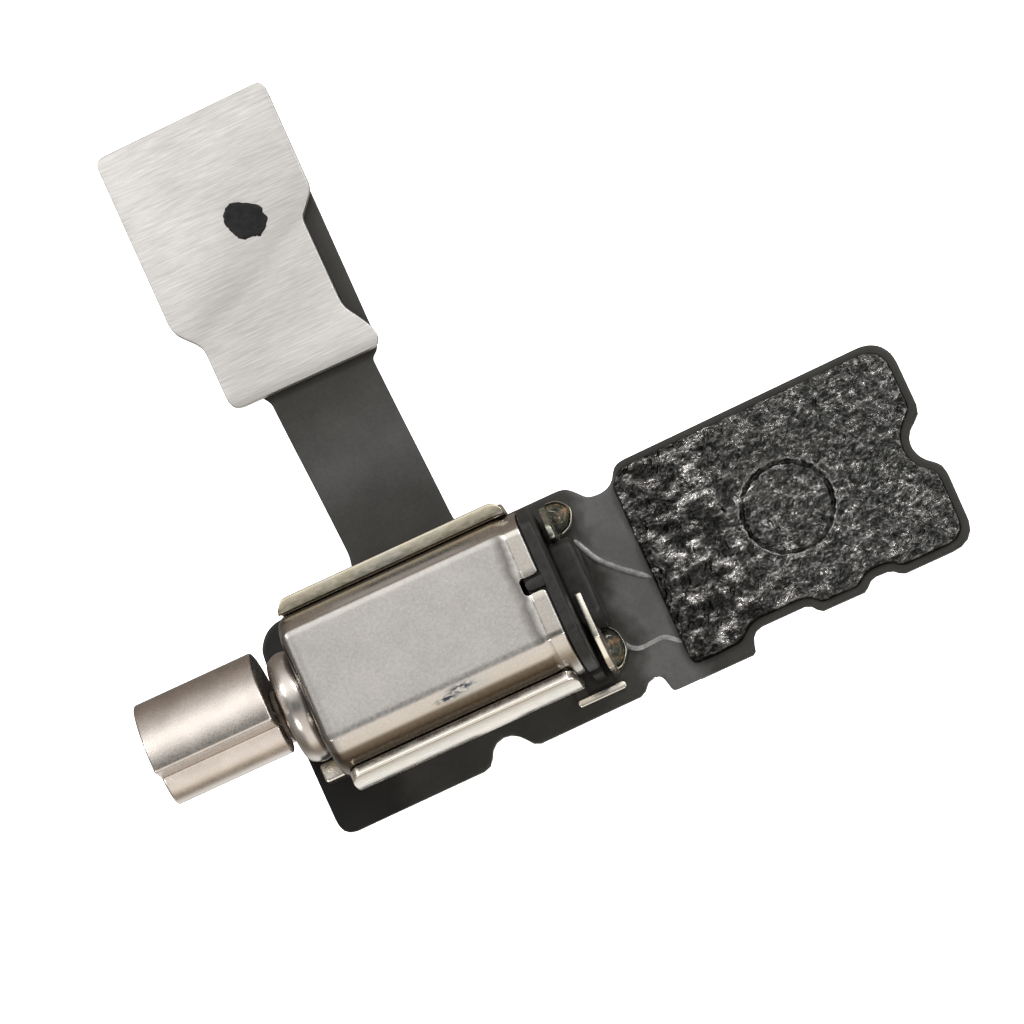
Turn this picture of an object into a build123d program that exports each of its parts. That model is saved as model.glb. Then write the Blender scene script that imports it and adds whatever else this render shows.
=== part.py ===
from build123d import *
import math
import os

os.makedirs("parts", exist_ok=True)

# ---------------------------------------------------------------------------
# Bar-type eccentric-weight vibration motor on a flexible circuit.
# Units: millimetres.
# Frame: +X along the motor shaft, from the weight towards the covered pad end,
#        +Y along the connector tail, +Z up from the mounting face.
# Origin: on the adhesive mounting face, straight below the middle of the can.
# ---------------------------------------------------------------------------

# layer heights
ADHESIVE_T = 0.05            # pressure-sensitive tape under the flex
STIFF_T = 0.05               # film stiffener
FLEX_T = 0.08                # polyimide flex with coverlay
Z_STIFF = ADHESIVE_T
Z_FLEX = Z_STIFF + STIFF_T   # underside of the flex
Z_TOP = Z_FLEX + FLEX_T      # upper face of the flex, 0.18
HOLDER_T = 0.15              # holder floor

# motor can
CAN_R = 2.05                 # round sides, 4.1 across
CAN_H = 1.56                 # half height over the flats
CAN_X0 = -3.17
CAN_X1 = 2.87
WALL = 0.15
BAND_X = 2.40                # start of the reduced rear band
BAND_D = 0.03
ZA = Z_TOP + HOLDER_T + CAN_H    # shaft axis height, 1.89
NOSE_X0 = -3.81
NOSE_R = 1.355
NOSE_BORE_R = 0.75
NOTCH_X = 2.34
NOTCH_W = 0.42

# holder arms
ARM_R0 = 2.17                # inner radius round the can's sides
ARM_R1 = 2.32
ARM_DEG = 19.8               # arm tips end this far above the axis plane
ARM_X0 = -3.08
ARM_X1 = 2.64
CORNER_X = 0.27              # the tip corners are cut back this far along X
CORNER_Z = 0.36              # and this far down
LIP_Y0 = 1.97                # flat lip along the far arm's tip
LIP_Y1 = 2.32
LIP_Z1 = 2.70
LIP_T = 0.12
LIP_R = 0.28

# rotor
SHAFT_R = 0.30
BEAR_R = 0.32                # running bores, 0.02 clearance
WEIGHT_X0 = -6.96
WEIGHT_X1 = -4.02
WEIGHT_R = 1.617
WEIGHT_CUT = -0.36           # flat of the sector
HUB_R = 0.875
MAG_R = 1.02
COIL_R0 = 1.12
COIL_R1 = 1.28
TUBE_R = 0.55

# flexible circuit
NECK_X0 = 4.35
NECK_X1 = 5.00
TAIL_Y1 = 7.15
TAIL_RISE = 0.62             # connector end stands this much above the base
PLATE_T = 0.20

Z_END = Z_FLEX + TAIL_RISE   # underside of the tail-end flex, 0.72


# --------------------------------------------------------------------- can
# Deep-drawn steel shell, flat on top and underneath, with a barrel nose that
# carries the front bearing. The rear end is open and closed by the end cap.
with BuildPart() as motor_can:
    with BuildSketch(Plane.YZ.offset(CAN_X0)):
        with Locations((0, ZA)):
            Circle(CAN_R)
            Rectangle(2 * CAN_R + 0.2, 2 * CAN_H, mode=Mode.INTERSECT)
    extrude(amount=BAND_X - CAN_X0)
    long_edges = motor_can.edges().filter_by(Axis.X).filter_by(lambda e: e.length > 4)
    fillet(long_edges, radius=0.08)
    front = motor_can.faces().sort_by(Axis.X)[0]
    fillet(front.edges(), radius=0.28)
    with BuildSketch(Plane.YZ.offset(BAND_X)):
        with Locations((0, ZA)):
            Circle(CAN_R - BAND_D)
            Rectangle(2 * CAN_R + 0.2, 2 * (CAN_H - BAND_D), mode=Mode.INTERSECT)
    extrude(amount=CAN_X1 - BAND_X)
    # barrel nose
    with BuildSketch(Plane.XZ):
        with BuildLine():
            Polyline((CAN_X0 + 0.05, ZA), (CAN_X0 + 0.05, ZA + 1.25), (CAN_X0 - 0.02, ZA + 1.25))
            ThreePointArc((CAN_X0 - 0.02, ZA + 1.25), (-3.45, ZA + NOSE_R), (-3.68, ZA + 1.285))
            ThreePointArc((-3.68, ZA + 1.285), (-3.775, ZA + 1.19), (NOSE_X0, ZA + 1.04))
            Polyline((NOSE_X0, ZA + 1.04), (NOSE_X0, ZA), (CAN_X0 + 0.05, ZA))
        make_face()
    revolve(axis=Axis((0, 0, ZA), (1, 0, 0)))
    # inner cavity
    with BuildSketch(Plane.YZ.offset(CAN_X0 + WALL)):
        with Locations((0, ZA)):
            Circle(CAN_R - WALL)
            Rectangle(2 * CAN_R, 2 * (CAN_H - WALL), mode=Mode.INTERSECT)
    extrude(amount=CAN_X1 - CAN_X0 - WALL, mode=Mode.SUBTRACT)
    # hollow nose and its bearing seat
    with BuildSketch(Plane.YZ.offset(NOSE_X0 + WALL)):
        with Locations((0, ZA)):
            Circle(1.05)
    extrude(amount=CAN_X0 - NOSE_X0, mode=Mode.SUBTRACT)
    with BuildSketch(Plane.YZ.offset(NOSE_X0 - 0.01)):
        with Locations((0, ZA)):
            Circle(NOSE_BORE_R)
    extrude(amount=WALL + 0.05, mode=Mode.SUBTRACT)
    # locating notch in the rear edge of the top flat
    with BuildSketch(Plane.XY.offset(ZA + 1.25)):
        with BuildSketch(mode=Mode.PRIVATE) as slot_in:
            with Locations(((NOTCH_X + CAN_X1 + 0.1) / 2, 0)):
                Rectangle(CAN_X1 + 0.1 - NOTCH_X, NOTCH_W)
            fillet(slot_in.vertices().group_by(Axis.X)[0], radius=0.14)
        add(slot_in.sketch)
        with Locations(((CAN_X1 - 0.16 + CAN_X1 + 0.1) / 2, 0)):
            Rectangle(0.26, NOTCH_W + 0.32)
        with Locations((CAN_X1 - 0.16, NOTCH_W / 2 + 0.16), (CAN_X1 - 0.16, -NOTCH_W / 2 - 0.16)):
            Circle(0.16, mode=Mode.SUBTRACT)
    extrude(amount=0.5, mode=Mode.SUBTRACT)
motor_can.part.label = "motor_can"

# ------------------------------------------------------------------ holder
# Spring holder: one bent strip, its floor soldered to the flex and its arms
# curved round the sides of the can to just above the axis. The arm on the
# tail's side ends in a flat lip.
phi_out = math.asin((ZA - Z_TOP) / ARM_R1)
phi_in = math.asin((ZA - Z_TOP - HOLDER_T) / ARM_R0)
tip = math.radians(ARM_DEG)
tip_z = ZA + ARM_R1 * math.sin(tip)
with BuildPart() as motor_holder:
    with BuildSketch(Plane.YZ.offset(ARM_X0)):
        with BuildLine():
            Line((-ARM_R1 * math.cos(phi_out), Z_TOP), (ARM_R1 * math.cos(phi_out), Z_TOP))
            CenterArc((0, ZA), ARM_R1, -math.degrees(phi_out), math.degrees(phi_out) + ARM_DEG)
            Line(
                (ARM_R1 * math.cos(tip), ZA + ARM_R1 * math.sin(tip)),
                (ARM_R0 * math.cos(tip), ZA + ARM_R0 * math.sin(tip)),
            )
            CenterArc((0, ZA), ARM_R0, -math.degrees(phi_in), math.degrees(phi_in) + ARM_DEG)
            Line((ARM_R0 * math.cos(phi_in), Z_TOP + HOLDER_T), (-ARM_R0 * math.cos(phi_in), Z_TOP + HOLDER_T))
            CenterArc((0, ZA), ARM_R0, 180 - ARM_DEG, math.degrees(phi_in) + ARM_DEG)
            Line(
                (-ARM_R0 * math.cos(tip), ZA + ARM_R0 * math.sin(tip)),
                (-ARM_R1 * math.cos(tip), ZA + ARM_R1 * math.sin(tip)),
            )
            CenterArc((0, ZA), ARM_R1, 180 - ARM_DEG, math.degrees(phi_out) + ARM_DEG)
        make_face()
    extrude(amount=ARM_X1 - ARM_X0)
    with BuildSketch(Plane.XZ) as side:
        with BuildLine():
            Line((ARM_X0 + CORNER_X, tip_z + 0.1), (ARM_X0 + CORNER_X, tip_z))
            ThreePointArc(
                (ARM_X0 + CORNER_X, tip_z),
                (ARM_X0 + 0.30 * CORNER_X, tip_z - 0.30 * CORNER_Z),
                (ARM_X0, tip_z - CORNER_Z),
            )
            Polyline((ARM_X0, tip_z - CORNER_Z), (ARM_X0, 0), (ARM_X1, 0), (ARM_X1, tip_z - CORNER_Z))
            ThreePointArc(
                (ARM_X1, tip_z - CORNER_Z),
                (ARM_X1 - 0.30 * CORNER_X, tip_z - 0.30 * CORNER_Z),
                (ARM_X1 - CORNER_X, tip_z),
            )
            Polyline(
                (ARM_X1 - CORNER_X, tip_z),
                (ARM_X1 - CORNER_X, tip_z + 0.1),
                (ARM_X0 + CORNER_X, tip_z + 0.1),
            )
        make_face()
    extrude(amount=5, both=True, mode=Mode.INTERSECT)
    # flat lip, its outer corners round in plan
    with BuildSketch(Plane.XY.offset(LIP_Z1 - LIP_T)) as lip:
        with Locations(((ARM_X0 + ARM_X1) / 2, (LIP_Y0 + LIP_Y1) / 2)):
            Rectangle(ARM_X1 - ARM_X0, LIP_Y1 - LIP_Y0)
        fillet(lip.vertices().group_by(Axis.Y)[-1], radius=LIP_R)
    extrude(amount=LIP_T)
    # front locating tab under the nose, on the near side
    with Locations((-3.36, -1.36, Z_TOP + 0.20)):
        Box(0.76, 0.48, 0.40)
    # soldering foot at the rear, on the near side
    with Locations((2.84, -2.33, Z_TOP + 0.07)):
        Box(1.10, 0.18, 0.14)
    with Locations((2.45, -1.93, Z_TOP + 0.07)):
        Box(0.32, 0.80, 0.14)
motor_holder.part.label = "motor_holder"

# ------------------------------------------------------------ front bearing
with BuildPart() as front_bearing:
    with BuildSketch(Plane.YZ.offset(NOSE_X0 + 0.02)):
        with Locations((0, ZA)):
            Circle(NOSE_BORE_R - 0.005)
            Circle(BEAR_R, mode=Mode.SUBTRACT)
    extrude(amount=0.60)
    with BuildSketch(Plane.YZ.offset(NOSE_X0 + WALL + 0.005)):
        with Locations((0, ZA)):
            Circle(1.03)
            Circle(BEAR_R, mode=Mode.SUBTRACT)
    extrude(amount=0.40)
front_bearing.part.label = "front_bearing"

# ------------------------------------------------- bearing tube and magnet
with BuildPart() as bearing_tube:
    with BuildSketch(Plane.YZ.offset(NOSE_X0 + 0.64)):
        with Locations((0, ZA)):
            Circle(TUBE_R)
            Circle(0.42, mode=Mode.SUBTRACT)
    extrude(amount=4.50)
    with BuildSketch(Plane.YZ.offset(CAN_X0 + WALL + 0.005)):
        with Locations((0, ZA)):
            Circle(1.38)
            Circle(0.42, mode=Mode.SUBTRACT)
    extrude(amount=0.12)
bearing_tube.part.label = "bearing_tube"

with BuildPart() as magnet:
    with BuildSketch(Plane.YZ.offset(-2.45)):
        with Locations((0, ZA)):
            Circle(MAG_R)
            Circle(TUBE_R + 0.005, mode=Mode.SUBTRACT)
    extrude(amount=3.60)
    fillet(magnet.edges().filter_by(GeomType.CIRCLE).filter_by(lambda e: e.radius > 1.0), radius=0.05)
magnet.part.label = "magnet"

# ------------------------------------------------------------------- shaft
with BuildPart() as shaft:
    with BuildSketch(Plane.YZ.offset(WEIGHT_X0 + 0.06)):
        with Locations((0, ZA)):
            Circle(SHAFT_R)
    extrude(amount=2.62 - (WEIGHT_X0 + 0.06))
    chamfer(shaft.faces().sort_by(Axis.X)[0].edges(), length=0.05)
    chamfer(shaft.faces().sort_by(Axis.X)[-1].edges(), length=0.05)
shaft.part.label = "shaft"

# -------------------------------------------------------- eccentric weight
# Tungsten sector with a round hub; the cut faces lie just past the axis.
with BuildPart() as eccentric_weight:
    with BuildSketch(Plane.YZ.offset(WEIGHT_X0)):
        with Locations((0, ZA)):
            Circle(WEIGHT_R)
        with Locations((WEIGHT_CUT + 2.0, ZA)):
            Rectangle(4.0, 4.0, mode=Mode.INTERSECT)
        with Locations((0, ZA)):
            Circle(HUB_R)
    extrude(amount=WEIGHT_X1 - WEIGHT_X0)
    fillet(
        eccentric_weight.edges().filter_by(Axis.X).filter_by(
            lambda e: math.hypot(e.center().Y, e.center().Z - ZA) > 1.5
        ),
        radius=0.07,
    )
    ends = [eccentric_weight.faces().sort_by(Axis.X)[0], eccentric_weight.faces().sort_by(Axis.X)[-1]]
    fillet([e for f in ends for e in f.edges()], radius=0.05)
    with BuildSketch(Plane.YZ.offset(WEIGHT_X0 - 0.1)):
        with Locations((0, ZA)):
            Circle(SHAFT_R)
    extrude(amount=4, mode=Mode.SUBTRACT)
eccentric_weight.part.label = "eccentric_weight"

with BuildPart() as thrust_washer:
    with BuildSketch(Plane.YZ.offset(WEIGHT_X1 + 0.01)):
        with Locations((0, ZA)):
            Circle(0.60)
            Circle(SHAFT_R + 0.005, mode=Mode.SUBTRACT)
    extrude(amount=0.15)
thrust_washer.part.label = "thrust_washer"

# -------------------------------------------------- armature and commutator
with BuildPart() as armature_coil:
    with BuildSketch(Plane.YZ.offset(-2.30)):
        with Locations((0, ZA)):
            Circle(COIL_R1)
            Circle(COIL_R0, mode=Mode.SUBTRACT)
    extrude(amount=3.85)
armature_coil.part.label = "armature_coil"

with BuildPart() as coil_holder:
    with BuildSketch(Plane.YZ.offset(1.55)):
        with Locations((0, ZA)):
            Circle(COIL_R1)
            Circle(SHAFT_R, mode=Mode.SUBTRACT)
    extrude(amount=0.20)
    with BuildSketch(Plane.YZ.offset(1.75)):
        with Locations((0, ZA)):
            Circle(0.40)
            Circle(SHAFT_R, mode=Mode.SUBTRACT)
    extrude(amount=0.50)
coil_holder.part.label = "coil_holder"

with BuildPart() as commutator:
    with BuildSketch(Plane.YZ.offset(1.76)):
        with Locations((0, ZA)):
            Circle(0.48)
            Circle(0.405, mode=Mode.SUBTRACT)
            with PolarLocations(0.45, 3):
                Rectangle(0.4, 0.06, mode=Mode.SUBTRACT)
    extrude(amount=0.48)
commutator.part.label = "commutator"

# ----------------------------------------------------------------- end cap
# Moulded closure with a plug inside the can, a locating tab in the notch,
# a rear boss between the terminals and two feet on the flex.
CAP_X1 = 3.17
with BuildPart() as end_cap:
    with BuildSketch(Plane.YZ.offset(CAN_X1 + 0.005)):
        with Locations((0, ZA)):
            Circle(CAN_R - 0.02)
            Rectangle(2 * CAN_R, 2 * (CAN_H - 0.04), mode=Mode.INTERSECT)
    extrude(amount=CAP_X1 - CAN_X1 - 0.005)
    fillet(end_cap.faces().sort_by(Axis.X)[-1].edges(), radius=0.07)
    with BuildSketch(Plane.YZ.offset(2.45)):
        with Locations((0, ZA)):
            Circle(CAN_R - WALL - 0.02)
            Rectangle(2 * CAN_R, 2 * (CAN_H - WALL - 0.02), mode=Mode.INTERSECT)
    extrude(amount=0.45)
    # locating tab in the can's notch
    with BuildSketch(Plane.XY.offset(ZA + 1.30)):
        with Locations(((NOTCH_X + 0.02 + 3.0) / 2, 0)):
            Rectangle(3.0 - NOTCH_X - 0.02, NOTCH_W - 0.05)
    extrude(amount=0.215)
    # rear boss between the terminals
    with BuildSketch(Plane.YZ.offset(CAP_X1 - 0.02)):
        with BuildSketch(mode=Mode.PRIVATE) as boss_in:
            with Locations((0.06, 1.05)):
                Rectangle(2.06, 1.70)
            fillet(boss_in.vertices(), radius=0.22)
        add(boss_in.sketch)
    extrude(amount=0.60)
    fillet(end_cap.faces().sort_by(Axis.X)[-1].edges(), radius=0.16)
    # feet
    with Locations((3.02, -1.90, Z_TOP + 0.52), (3.02, 1.90, Z_TOP + 0.52)):
        Box(0.27, 0.32, 1.04)
    # slots for the terminals' inner ends and the rear bearing seat
    with BuildSketch(Plane.YZ.offset(2.40)):
        with Locations((0, ZA)):
            Circle(0.56)
    extrude(amount=0.42, mode=Mode.SUBTRACT)
    with Locations((2.85, 1.22, ZA - 0.05), (2.85, -1.22, ZA - 0.05)):
        Box(0.90, 0.36, 0.12, mode=Mode.SUBTRACT)
end_cap.part.label = "end_cap"

with BuildPart() as rear_bearing:
    with BuildSketch(Plane.YZ.offset(2.41)):
        with Locations((0, ZA)):
            Circle(0.555)
            Circle(BEAR_R, mode=Mode.SUBTRACT)
    extrude(amount=0.28)
rear_bearing.part.label = "rear_bearing"

# ------------------------------------------------------ terminals and brushes
# Each terminal is a strip behind the end cap that stands on its solder pad and
# passes through the cap at axis height, where it carries its brush.
with BuildPart() as terminal_pos:
    with BuildSketch(Plane.YZ.offset(3.31)):
        with BuildLine():
            Polyline(
                (1.24, Z_TOP), (2.06, Z_TOP), (2.06, 1.25), (1.86, 1.55), (1.42, 2.02),
                (1.10, 2.02), (1.10, 1.60), (1.24, 1.45), (1.24, Z_TOP),
            )
        make_face()
    extrude(amount=0.15)
    with Locations((2.87, 1.22, ZA - 0.05)):
        Box(0.90, 0.30, 0.08)
terminal_pos.part.label = "terminal_pos"

with BuildPart() as terminal_neg:
    with BuildSketch(Plane.YZ.offset(3.31)):
        with BuildLine():
            Polyline(
                (-0.98, Z_TOP), (-2.06, Z_TOP), (-2.06, 1.25), (-1.86, 1.60), (-1.42, 2.02),
                (-0.30, 2.02), (-0.30, 1.92), (-1.02, 1.92), (-1.06, 1.80), (-1.06, 1.0),
                (-0.98, 0.9), (-0.98, Z_TOP),
            )
        make_face()
    extrude(amount=0.15)
    with Locations((2.87, -1.22, ZA - 0.05)):
        Box(0.90, 0.30, 0.08)
terminal_neg.part.label = "terminal_neg"

with BuildPart() as brush_pos:
    with Locations((2.385, 0.94, ZA)):
        Box(0.05, 0.88, 0.30)
    with Locations((2.13, 0.53, ZA)):
        Box(0.54, 0.06, 0.30)
brush_pos.part.label = "brush_pos"

with BuildPart() as brush_neg:
    with Locations((2.385, -0.94, ZA)):
        Box(0.05, 0.88, 0.30)
    with Locations((2.13, -0.53, ZA)):
        Box(0.54, 0.06, 0.30)
brush_neg.part.label = "brush_neg"

# ----------------------------------------------------------- solder fillets
with BuildPart() as solder_pos:
    with BuildSketch(Plane.XY.offset(Z_TOP)):
        with Locations((3.46, 1.90)):
            Ellipse(0.50, 0.44)
        with Locations((3.96, 1.90)):
            Rectangle(1.0, 1.0, mode=Mode.INTERSECT)
    extrude(amount=0.62, taper=18)
solder_pos.part.label = "solder_pos"

with BuildPart() as solder_neg:
    with BuildSketch(Plane.XY.offset(Z_TOP)):
        with Locations((3.46, -1.42)):
            Ellipse(0.36, 0.56)
        with Locations((3.96, -1.42)):
            Rectangle(1.0, 1.4, mode=Mode.INTERSECT)
    extrude(amount=0.62, taper=14)
solder_neg.part.label = "solder_neg"

# ---------------------------------------------------------- base flex stack
BASE_PTS = [
    (-4.02, 1.50), (-3.98, 1.98), (-3.89, 2.15), (-3.73, 2.34), (-3.50, 2.46), (-3.27, 2.50),
    (-1.70, 2.52), (-1.46, 2.56), (-1.32, 2.70), (-1.26, 2.96), (-1.22, 3.20),
    (1.35, 3.20), (1.37, 2.96), (1.42, 2.70), (1.56, 2.56), (1.80, 2.52),
    (3.86, 2.52), (4.03, 2.48), (4.20, 2.33), (4.35, 2.14),
    (NECK_X0, -2.70),
    (4.29, -2.50), (4.13, -2.44), (3.95, -2.49), (3.80, -2.66), (3.66, -2.73),
    (1.12, -2.75), (0.96, -2.68), (0.86, -2.54), (0.72, -2.38), (0.56, -2.28), (0.38, -2.25),
    (0.18, -2.30), (0.04, -2.42), (-0.06, -2.60), (-0.16, -2.74), (-0.34, -2.80),
    (-3.60, -2.82), (-3.76, -2.78), (-3.87, -2.69), (-3.93, -2.56), (-3.95, -2.40),
]
with BuildPart() as flex_base:
    with BuildSketch(Plane.XY.offset(Z_FLEX)):
        with BuildLine():
            Polyline(*BASE_PTS, close=True)
        make_face()
    extrude(amount=FLEX_T)
flex_base.part.label = "flex_base"

with BuildPart() as base_stiffener:
    with BuildSketch(Plane.XY.offset(Z_STIFF)):
        with BuildLine():
            Polyline(*BASE_PTS, close=True)
        make_face()
        with Locations((0, 4.52)):
            Rectangle(12, 4.0, mode=Mode.SUBTRACT)
        with Locations((6.20, 0)):
            Rectangle(4.0, 8.0, mode=Mode.SUBTRACT)
    extrude(amount=STIFF_T)
base_stiffener.part.label = "base_stiffener"

with BuildPart() as base_adhesive:
    with BuildSketch(Plane.XY):
        with BuildLine():
            Polyline(*BASE_PTS, close=True)
        make_face()
        with Locations((0, 4.40)):
            Rectangle(12, 4.0, mode=Mode.SUBTRACT)
        with Locations((6.10, 0)):
            Rectangle(4.0, 8.0, mode=Mode.SUBTRACT)
        with Locations((-6.00, 0)):
            Rectangle(4.30, 8.0, mode=Mode.SUBTRACT)
        with Locations((0, -4.20)):
            Rectangle(12, 3.1, mode=Mode.SUBTRACT)
    extrude(amount=ADHESIVE_T)
base_adhesive.part.label = "base_adhesive"

# ----------------------------------------------------------- bending neck
with BuildPart() as neck_flex:
    with BuildSketch(Plane.XY.offset(Z_FLEX)):
        with BuildLine():
            Polyline(
                (NECK_X0, 2.14), (4.46, 2.07), (4.64, 2.04), (4.86, 2.06), (NECK_X1, 2.13),
                (NECK_X1, -2.94), (4.43, -2.93), (4.38, -2.86), (NECK_X0, -2.70),
                close=True,
            )
        make_face()
    extrude(amount=FLEX_T)
neck_flex.part.label = "neck_flex"

# ------------------------------------------------------------ pad end stack
PAD_PTS = [
    (NECK_X1, 2.13), (5.10, 2.22), (5.20, 2.40), (5.32, 2.51), (5.48, 2.55),
    (11.60, 2.63), (11.85, 2.57), (12.06, 2.42), (12.19, 2.20), (12.23, 1.95),
    (12.23, 0.84), (12.17, 0.62), (12.02, 0.48), (11.85, 0.34), (11.75, 0.18), (11.71, -0.02),
    (11.75, -0.23), (11.87, -0.44), (12.04, -0.58), (12.17, -0.72), (12.22, -0.94),
    (12.20, -2.16), (12.14, -2.38), (12.00, -2.55), (11.80, -2.65), (11.56, -2.68),
    (10.38, -2.68), (10.24, -2.61), (10.14, -2.52), (10.00, -2.47),
    (9.72, -2.46), (9.58, -2.50), (9.46, -2.61), (9.34, -2.69),
    (8.30, -2.68), (8.18, -2.59), (8.09, -2.47), (7.95, -2.41),
    (6.86, -2.41), (6.70, -2.46), (6.60, -2.56), (6.54, -2.72), (6.50, -2.88), (6.42, -2.94),
    (NECK_X1, -2.94),
]
with BuildPart() as pad_flex:
    with BuildSketch(Plane.XY.offset(Z_FLEX)):
        with BuildLine():
            Polyline(*PAD_PTS, close=True)
        make_face()
    extrude(amount=FLEX_T)
pad_flex.part.label = "pad_flex"

with BuildPart() as pad_stiffener:
    with BuildSketch(Plane.XY.offset(Z_STIFF)):
        with BuildLine():
            Polyline(*PAD_PTS, close=True)
        make_face()
        with Locations((3.10, 0)):
            Rectangle(4.0, 8.0, mode=Mode.SUBTRACT)
    extrude(amount=STIFF_T)
pad_stiffener.part.label = "pad_stiffener"

with BuildPart() as pad_adhesive:
    with BuildSketch(Plane.XY):
        with Locations((8.50, -0.02)):
            RectangleRounded(6.10, 4.60, 0.3)
    extrude(amount=ADHESIVE_T)
pad_adhesive.part.label = "pad_adhesive"

# Round disc under the film, which shows through it as an embossed ring.
with BuildPart() as pad_disc:
    with BuildSketch(Plane.XY.offset(Z_TOP)):
        with Locations((8.55, -0.13)):
            Circle(1.00)
    extrude(amount=0.06)
pad_disc.part.label = "pad_disc"

# Crumpled protective film, which covers the pad end up to a narrow margin.
COVER_PTS = [
    (5.04, 2.05), (5.16, 2.18), (5.30, 2.34), (5.48, 2.40),
    (11.56, 2.46), (11.78, 2.40), (11.94, 2.27), (12.03, 2.08), (12.05, 1.90),
    (12.05, 0.92), (12.00, 0.76), (11.86, 0.62), (11.68, 0.44), (11.57, 0.22), (11.53, -0.02),
    (11.57, -0.28), (11.70, -0.53), (11.90, -0.70), (12.01, -0.84), (12.04, -1.00),
    (12.02, -2.10), (11.96, -2.30), (11.82, -2.44), (11.60, -2.51),
    (10.44, -2.51), (10.30, -2.44), (10.16, -2.33), (9.98, -2.29),
    (9.74, -2.28), (9.52, -2.33), (9.38, -2.44), (9.26, -2.51),
    (8.36, -2.50), (8.24, -2.38), (8.12, -2.28), (7.92, -2.23),
    (6.84, -2.23), (6.62, -2.30), (6.46, -2.44), (6.30, -2.56), (5.70, -2.60),
    (5.14, -2.58), (5.06, -2.46), (5.04, -2.20),
]
with BuildPart() as pad_cover:
    with BuildSketch(Plane.XY.offset(Z_TOP)):
        with BuildLine():
            Polyline(*COVER_PTS, close=True)
        make_face()
    extrude(amount=0.24)
    with BuildSketch(Plane.XY.offset(Z_TOP)):
        with Locations((8.55, -0.13)):
            Circle(1.02)
    extrude(amount=0.07, mode=Mode.SUBTRACT)
pad_cover.part.label = "pad_cover"

# ---------------------------------------------------------------- tail span
with BuildPart() as tail_flex:
    # side profile of the rising strip
    with BuildSketch(Plane.YZ.offset(-2.0)):
        with BuildLine():
            under = [
                (3.20 + (TAIL_Y1 - 3.20) * k / 12, Z_FLEX + TAIL_RISE * (1 - math.cos(math.pi * k / 12)) / 2)
                for k in range(13)
            ]
            over = [(y, z + FLEX_T) for y, z in reversed(under)]
            Polyline(*under, *over, close=True)
        make_face()
    extrude(amount=4.0)
    with BuildSketch(Plane.XY.offset(-0.5)):
        with BuildLine():
            Polyline(
                (-1.22, 3.20), (1.35, 3.20), (1.19, TAIL_Y1), (-1.41, TAIL_Y1),
                close=True,
            )
        make_face()
    extrude(amount=3, mode=Mode.INTERSECT)
tail_flex.part.label = "tail_flex"

# -------------------------------------------------------------- tail end
PLATE_PTS = [
    (-2.71, 14.34), (-2.84, 14.31), (-2.93, 14.22), (-2.95, 14.10),
    (-2.88, 9.90), (-2.85, 9.70), (-2.76, 9.52), (-2.58, 9.32), (-2.44, 9.16), (-2.35, 8.98), (-2.33, 8.80),
    (-2.31, 7.62), (-2.28, 7.48), (-2.20, 7.38), (-2.06, 7.33), (-1.95, 7.32),
    (1.26, 7.29), (1.40, 7.32), (1.50, 7.42), (1.53, 7.58), (1.49, 7.76), (1.40, 7.96), (1.28, 8.16), (1.16, 8.36),
    (1.08, 8.52), (1.05, 8.72),
    (1.02, 10.82), (1.05, 10.94), (1.15, 11.06), (1.30, 11.24), (1.42, 11.40), (1.49, 11.58),
    (1.47, 14.14), (1.45, 14.28), (1.36, 14.38), (1.24, 14.40),
]
END_PTS = [
    (-1.41, TAIL_Y1), (1.19, TAIL_Y1), (1.36, 7.24), (1.44, 7.44), (1.47, 7.70), (1.44, 11.30),
    (1.38, 13.90), (1.20, 14.20), (-2.60, 14.16), (-2.80, 13.95),
    (-2.72, 10.00), (-2.62, 9.70), (-2.30, 9.30), (-2.18, 9.00), (-2.14, 7.80), (-1.95, 7.52), (-1.55, 7.38),
]
with BuildPart() as tail_end_flex:
    with BuildSketch(Plane.XY.offset(Z_END)):
        with BuildLine():
            Polyline(*END_PTS, close=True)
        make_face()
    extrude(amount=FLEX_T)
tail_end_flex.part.label = "tail_end_flex"

with BuildPart() as plate_adhesive:
    with BuildSketch(Plane.XY.offset(Z_END + FLEX_T)):
        with Locations((-0.68, 10.90)):
            RectangleRounded(3.20, 6.30, 0.2)
    extrude(amount=0.04)
plate_adhesive.part.label = "plate_adhesive"

with BuildPart() as steel_plate:
    with BuildSketch(Plane.XY.offset(Z_END + FLEX_T + 0.04)):
        with BuildLine():
            Polyline(*PLATE_PTS, close=True)
        make_face()
    extrude(amount=PLATE_T)
steel_plate.part.label = "steel_plate"

# Board-to-board connector on the underside of the tail end.
CON_X, CON_Y = -0.70, 11.20
with BuildPart() as connector_body:
    with BuildSketch(Plane.XY):
        with Locations((CON_X, CON_Y)):
            RectangleRounded(2.30, 4.40, 0.15)
    extrude(amount=Z_END)
    # socket trench with its centre tongue, open downwards
    with BuildSketch(Plane.XY):
        with Locations((CON_X, CON_Y)):
            Rectangle(1.50, 3.40)
            Rectangle(0.60, 2.60, mode=Mode.SUBTRACT)
    extrude(amount=0.50, mode=Mode.SUBTRACT)
    # slots for the contacts, through both long walls
    with BuildSketch(Plane.XY):
        with Locations(*[(CON_X + sx * 0.975, CON_Y + 0.60 * k) for sx in (-1, 1) for k in (-2, -1, 0, 1, 2)]):
            Rectangle(0.60, 0.24)
    extrude(amount=0.40, mode=Mode.SUBTRACT)
connector_body.part.label = "connector_body"

with BuildPart() as connector_contacts:
    with Locations(*[(CON_X + sx * 0.95, CON_Y + 0.60 * k, 0.22) for sx in (-1, 1) for k in (-2, -1, 0, 1, 2)]):
        Box(0.44, 0.20, 0.34)
connector_contacts.part.label = "connector_contacts"

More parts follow.
